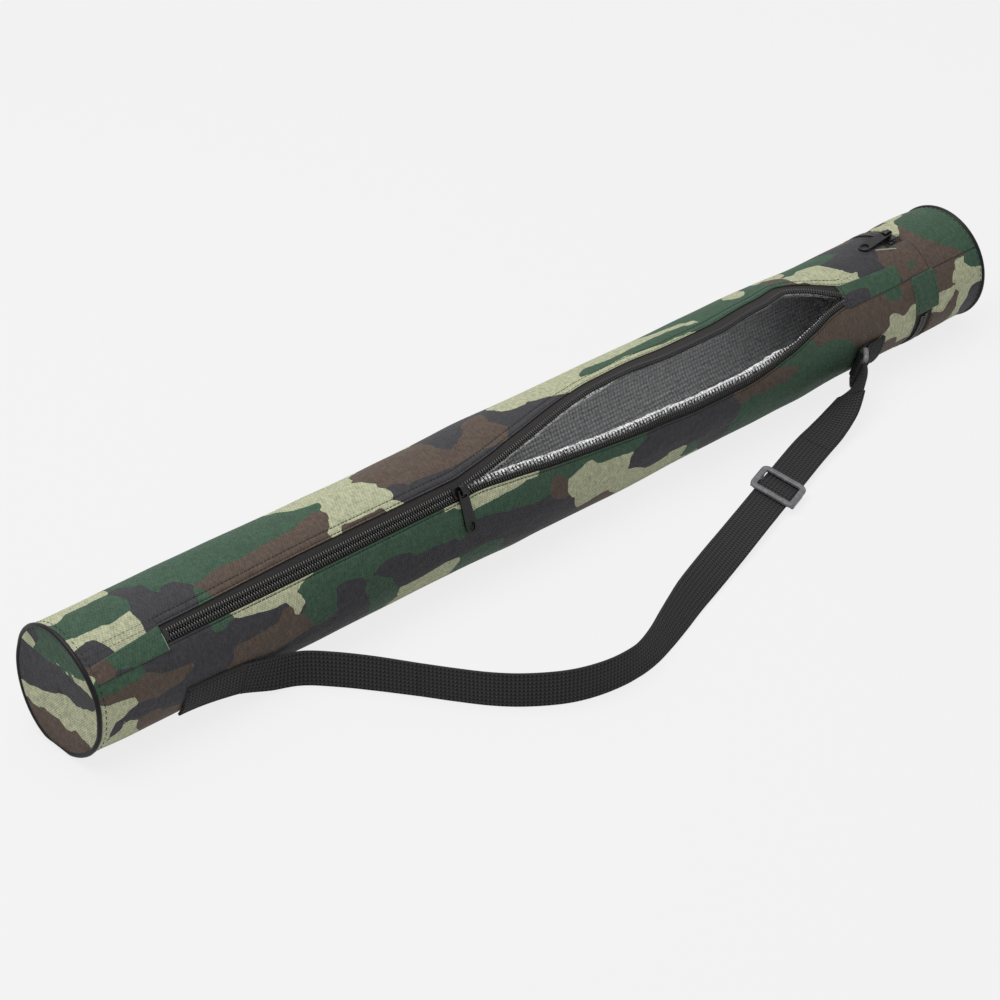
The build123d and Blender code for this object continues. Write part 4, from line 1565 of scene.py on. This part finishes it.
def loopFrame(length, width, corner, half, deep, height):
    spots = []
    for i, (signX, signY) in enumerate(((1, 1), (-1, 1), (-1, -1), (1, -1))):
        for turn in evenly(0, 90, 15.0):
            a = math.radians(90 * i + turn)
            x = signX * (length / 2 - corner) + corner * math.cos(a)
            y = signY * (width / 2 - corner) + corner * math.sin(a)
            spots.append((x, y, math.cos(a), math.sin(a)))
    spots.append(spots[0])

    def squared(size, share):
        return size * math.copysign(abs(share) ** glide["squareness"], share)

    def laid(spot, turn):
        (x, y, alongX, alongY), a = spot, math.radians(turn)
        wide = squared(half, math.cos(a))
        place = onSeat(x + alongX * wide, y + alongY * wide, height + squared(deep, math.sin(a)))
        return place, (x * mm, a * mm)

    bm = drawnGrid(spots, evenly(0, 360, 22.5), laid)
    weld(bm)
    turnOut(bm)
    return bm


lifted = glide["over"] + glide["thick"] / 2
across = glide["width"] - glide["side"]
bm = loopFrame(
    glide["length"] - glide["bar"], across, glide["corner"] - 1, glide["bar"] / 2, glide["thick"] / 2, lifted)
for y, z, size in (
    (across / 2, 0, (glide["brace"], glide["side"], 2 * lifted)),
    (-across / 2, 0, (glide["brace"], glide["side"], 2 * lifted)),
    (0, -lifted, (glide["bar"], across, glide["thick"])),
):
    basis = Matrix((seatAlong, seatSide, seatFace)).transposed().to_4x4()
    basis.translation = onSeat(0, y, z)
    made = bmesh.ops.create_cube(bm, size=1.0, matrix=basis @ Matrix.Diagonal((*[c * mm for c in size], 1)))
    edges = list({edge for vert in made["verts"] for edge in vert.link_edges})
    bmesh.ops.bevel(
        bm, geom=edges, offset=glide["bevel"] * mm, offset_type="OFFSET", segments=3, profile=0.5,
        affect="EDGES", material=-1)
piece = settle(bm, "triGlide", "buckle")
finishPiece(piece, "tri_glide", "buckle", "tri_glide")


# hardware kept from the frame
for node, finish in (
    ("main_slider", "slider"), ("main_pull", "slider"), ("end_slider", "slider"), ("end_pull", "slider"),
    ("zip_stops", "coil"), ("rectangular_ring", "buckle"),
):
    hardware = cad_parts[node]
    if not hardware.material_slots:
        hardware.data.materials.append(None)
    for holder in hardware.material_slots:
        holder.material = finishes[finish]
print("hardware finished")


# floor, light and camera
stage = {
    "floor": 0.887,  # brightness of the paper as the camera sees it
    "sky": 0.335,
    "shadowShare": 0.09,
    "reach": 15.0,
    "drop": -0.0006,
    "lamp": (-0.5, 0.3, 2.4),
    "lampSize": 2.4,
    "lampPower": 63.0,
}
bm = bmesh.new()
bmesh.ops.create_grid(bm, x_segments=1, y_segments=1, size=stage["reach"])
paper = [stage["floor"]] * 3 + [1.0]
floorFinish = Finish("floorPaper", Roughness=1.0, Base_Color=paper, Specular_IOR_Level=0.0)
shadowed = Signal(floorFinish, floorFinish.shader.outputs[0])
plain = floorFinish.node("Emission", {}, {"Color": paper, "Strength": 1.0})
plainShare = floorFinish.seenDirectly() * (1 - stage["shadowShare"])
both = floorFinish.node("MixShader", {}, {0: plainShare, 1: shadowed, 2: plain})
outlet = next(node for node in floorFinish.nodes if node.type == "OUTPUT_MATERIAL")
floorFinish.feed(outlet.inputs["Surface"], both)
finishes["floor"] = floorFinish.material
floor = settle(bm, "floor", "floor")
floor.data.transform(Matrix.Translation((0, 0, stage["drop"])))

world = bpy.data.worlds.new("paleSky")
bpy.context.scene.world = world
world.use_nodes = True
sky = Tree(world.node_tree)
ambient = sky.nodes["Background"]
sky.feed(ambient.inputs["Color"], (1.0, 1.0, 1.0, 1.0))
sky.feed(ambient.inputs["Strength"], sky.seenDirectly() * (stage["floor"] - stage["sky"]) + stage["sky"])

lamp = bpy.data.lights.new("softLamp", "AREA")
lamp.shape, lamp.size, lamp.energy = "SQUARE", stage["lampSize"], stage["lampPower"]
holder = bpy.data.objects.new("softLamp", lamp)
bpy.context.scene.collection.objects.link(holder)
holder.location = stage["lamp"]
holder.rotation_euler = (-Vector(stage["lamp"])).to_track_quat("-Z", "Y").to_euler()

view = {"place": (-1.1175, -1.175, 1.0533), "target": (-0.0488, 0.0, 0.0218), "lens": 100.3}
camera = bpy.data.objects.new("camera", bpy.data.cameras.new("camera"))
bpy.context.scene.collection.objects.link(camera)
camera.data.lens, camera.data.sensor_width = view["lens"], 36.0
camera.location = view["place"]
camera.rotation_euler = (Vector(view["target"]) - Vector(view["place"])).to_track_quat("-Z", "Y").to_euler()
bpy.context.scene.camera = camera
bpy.context.scene.view_settings.view_transform = "Standard"

print("scene done")
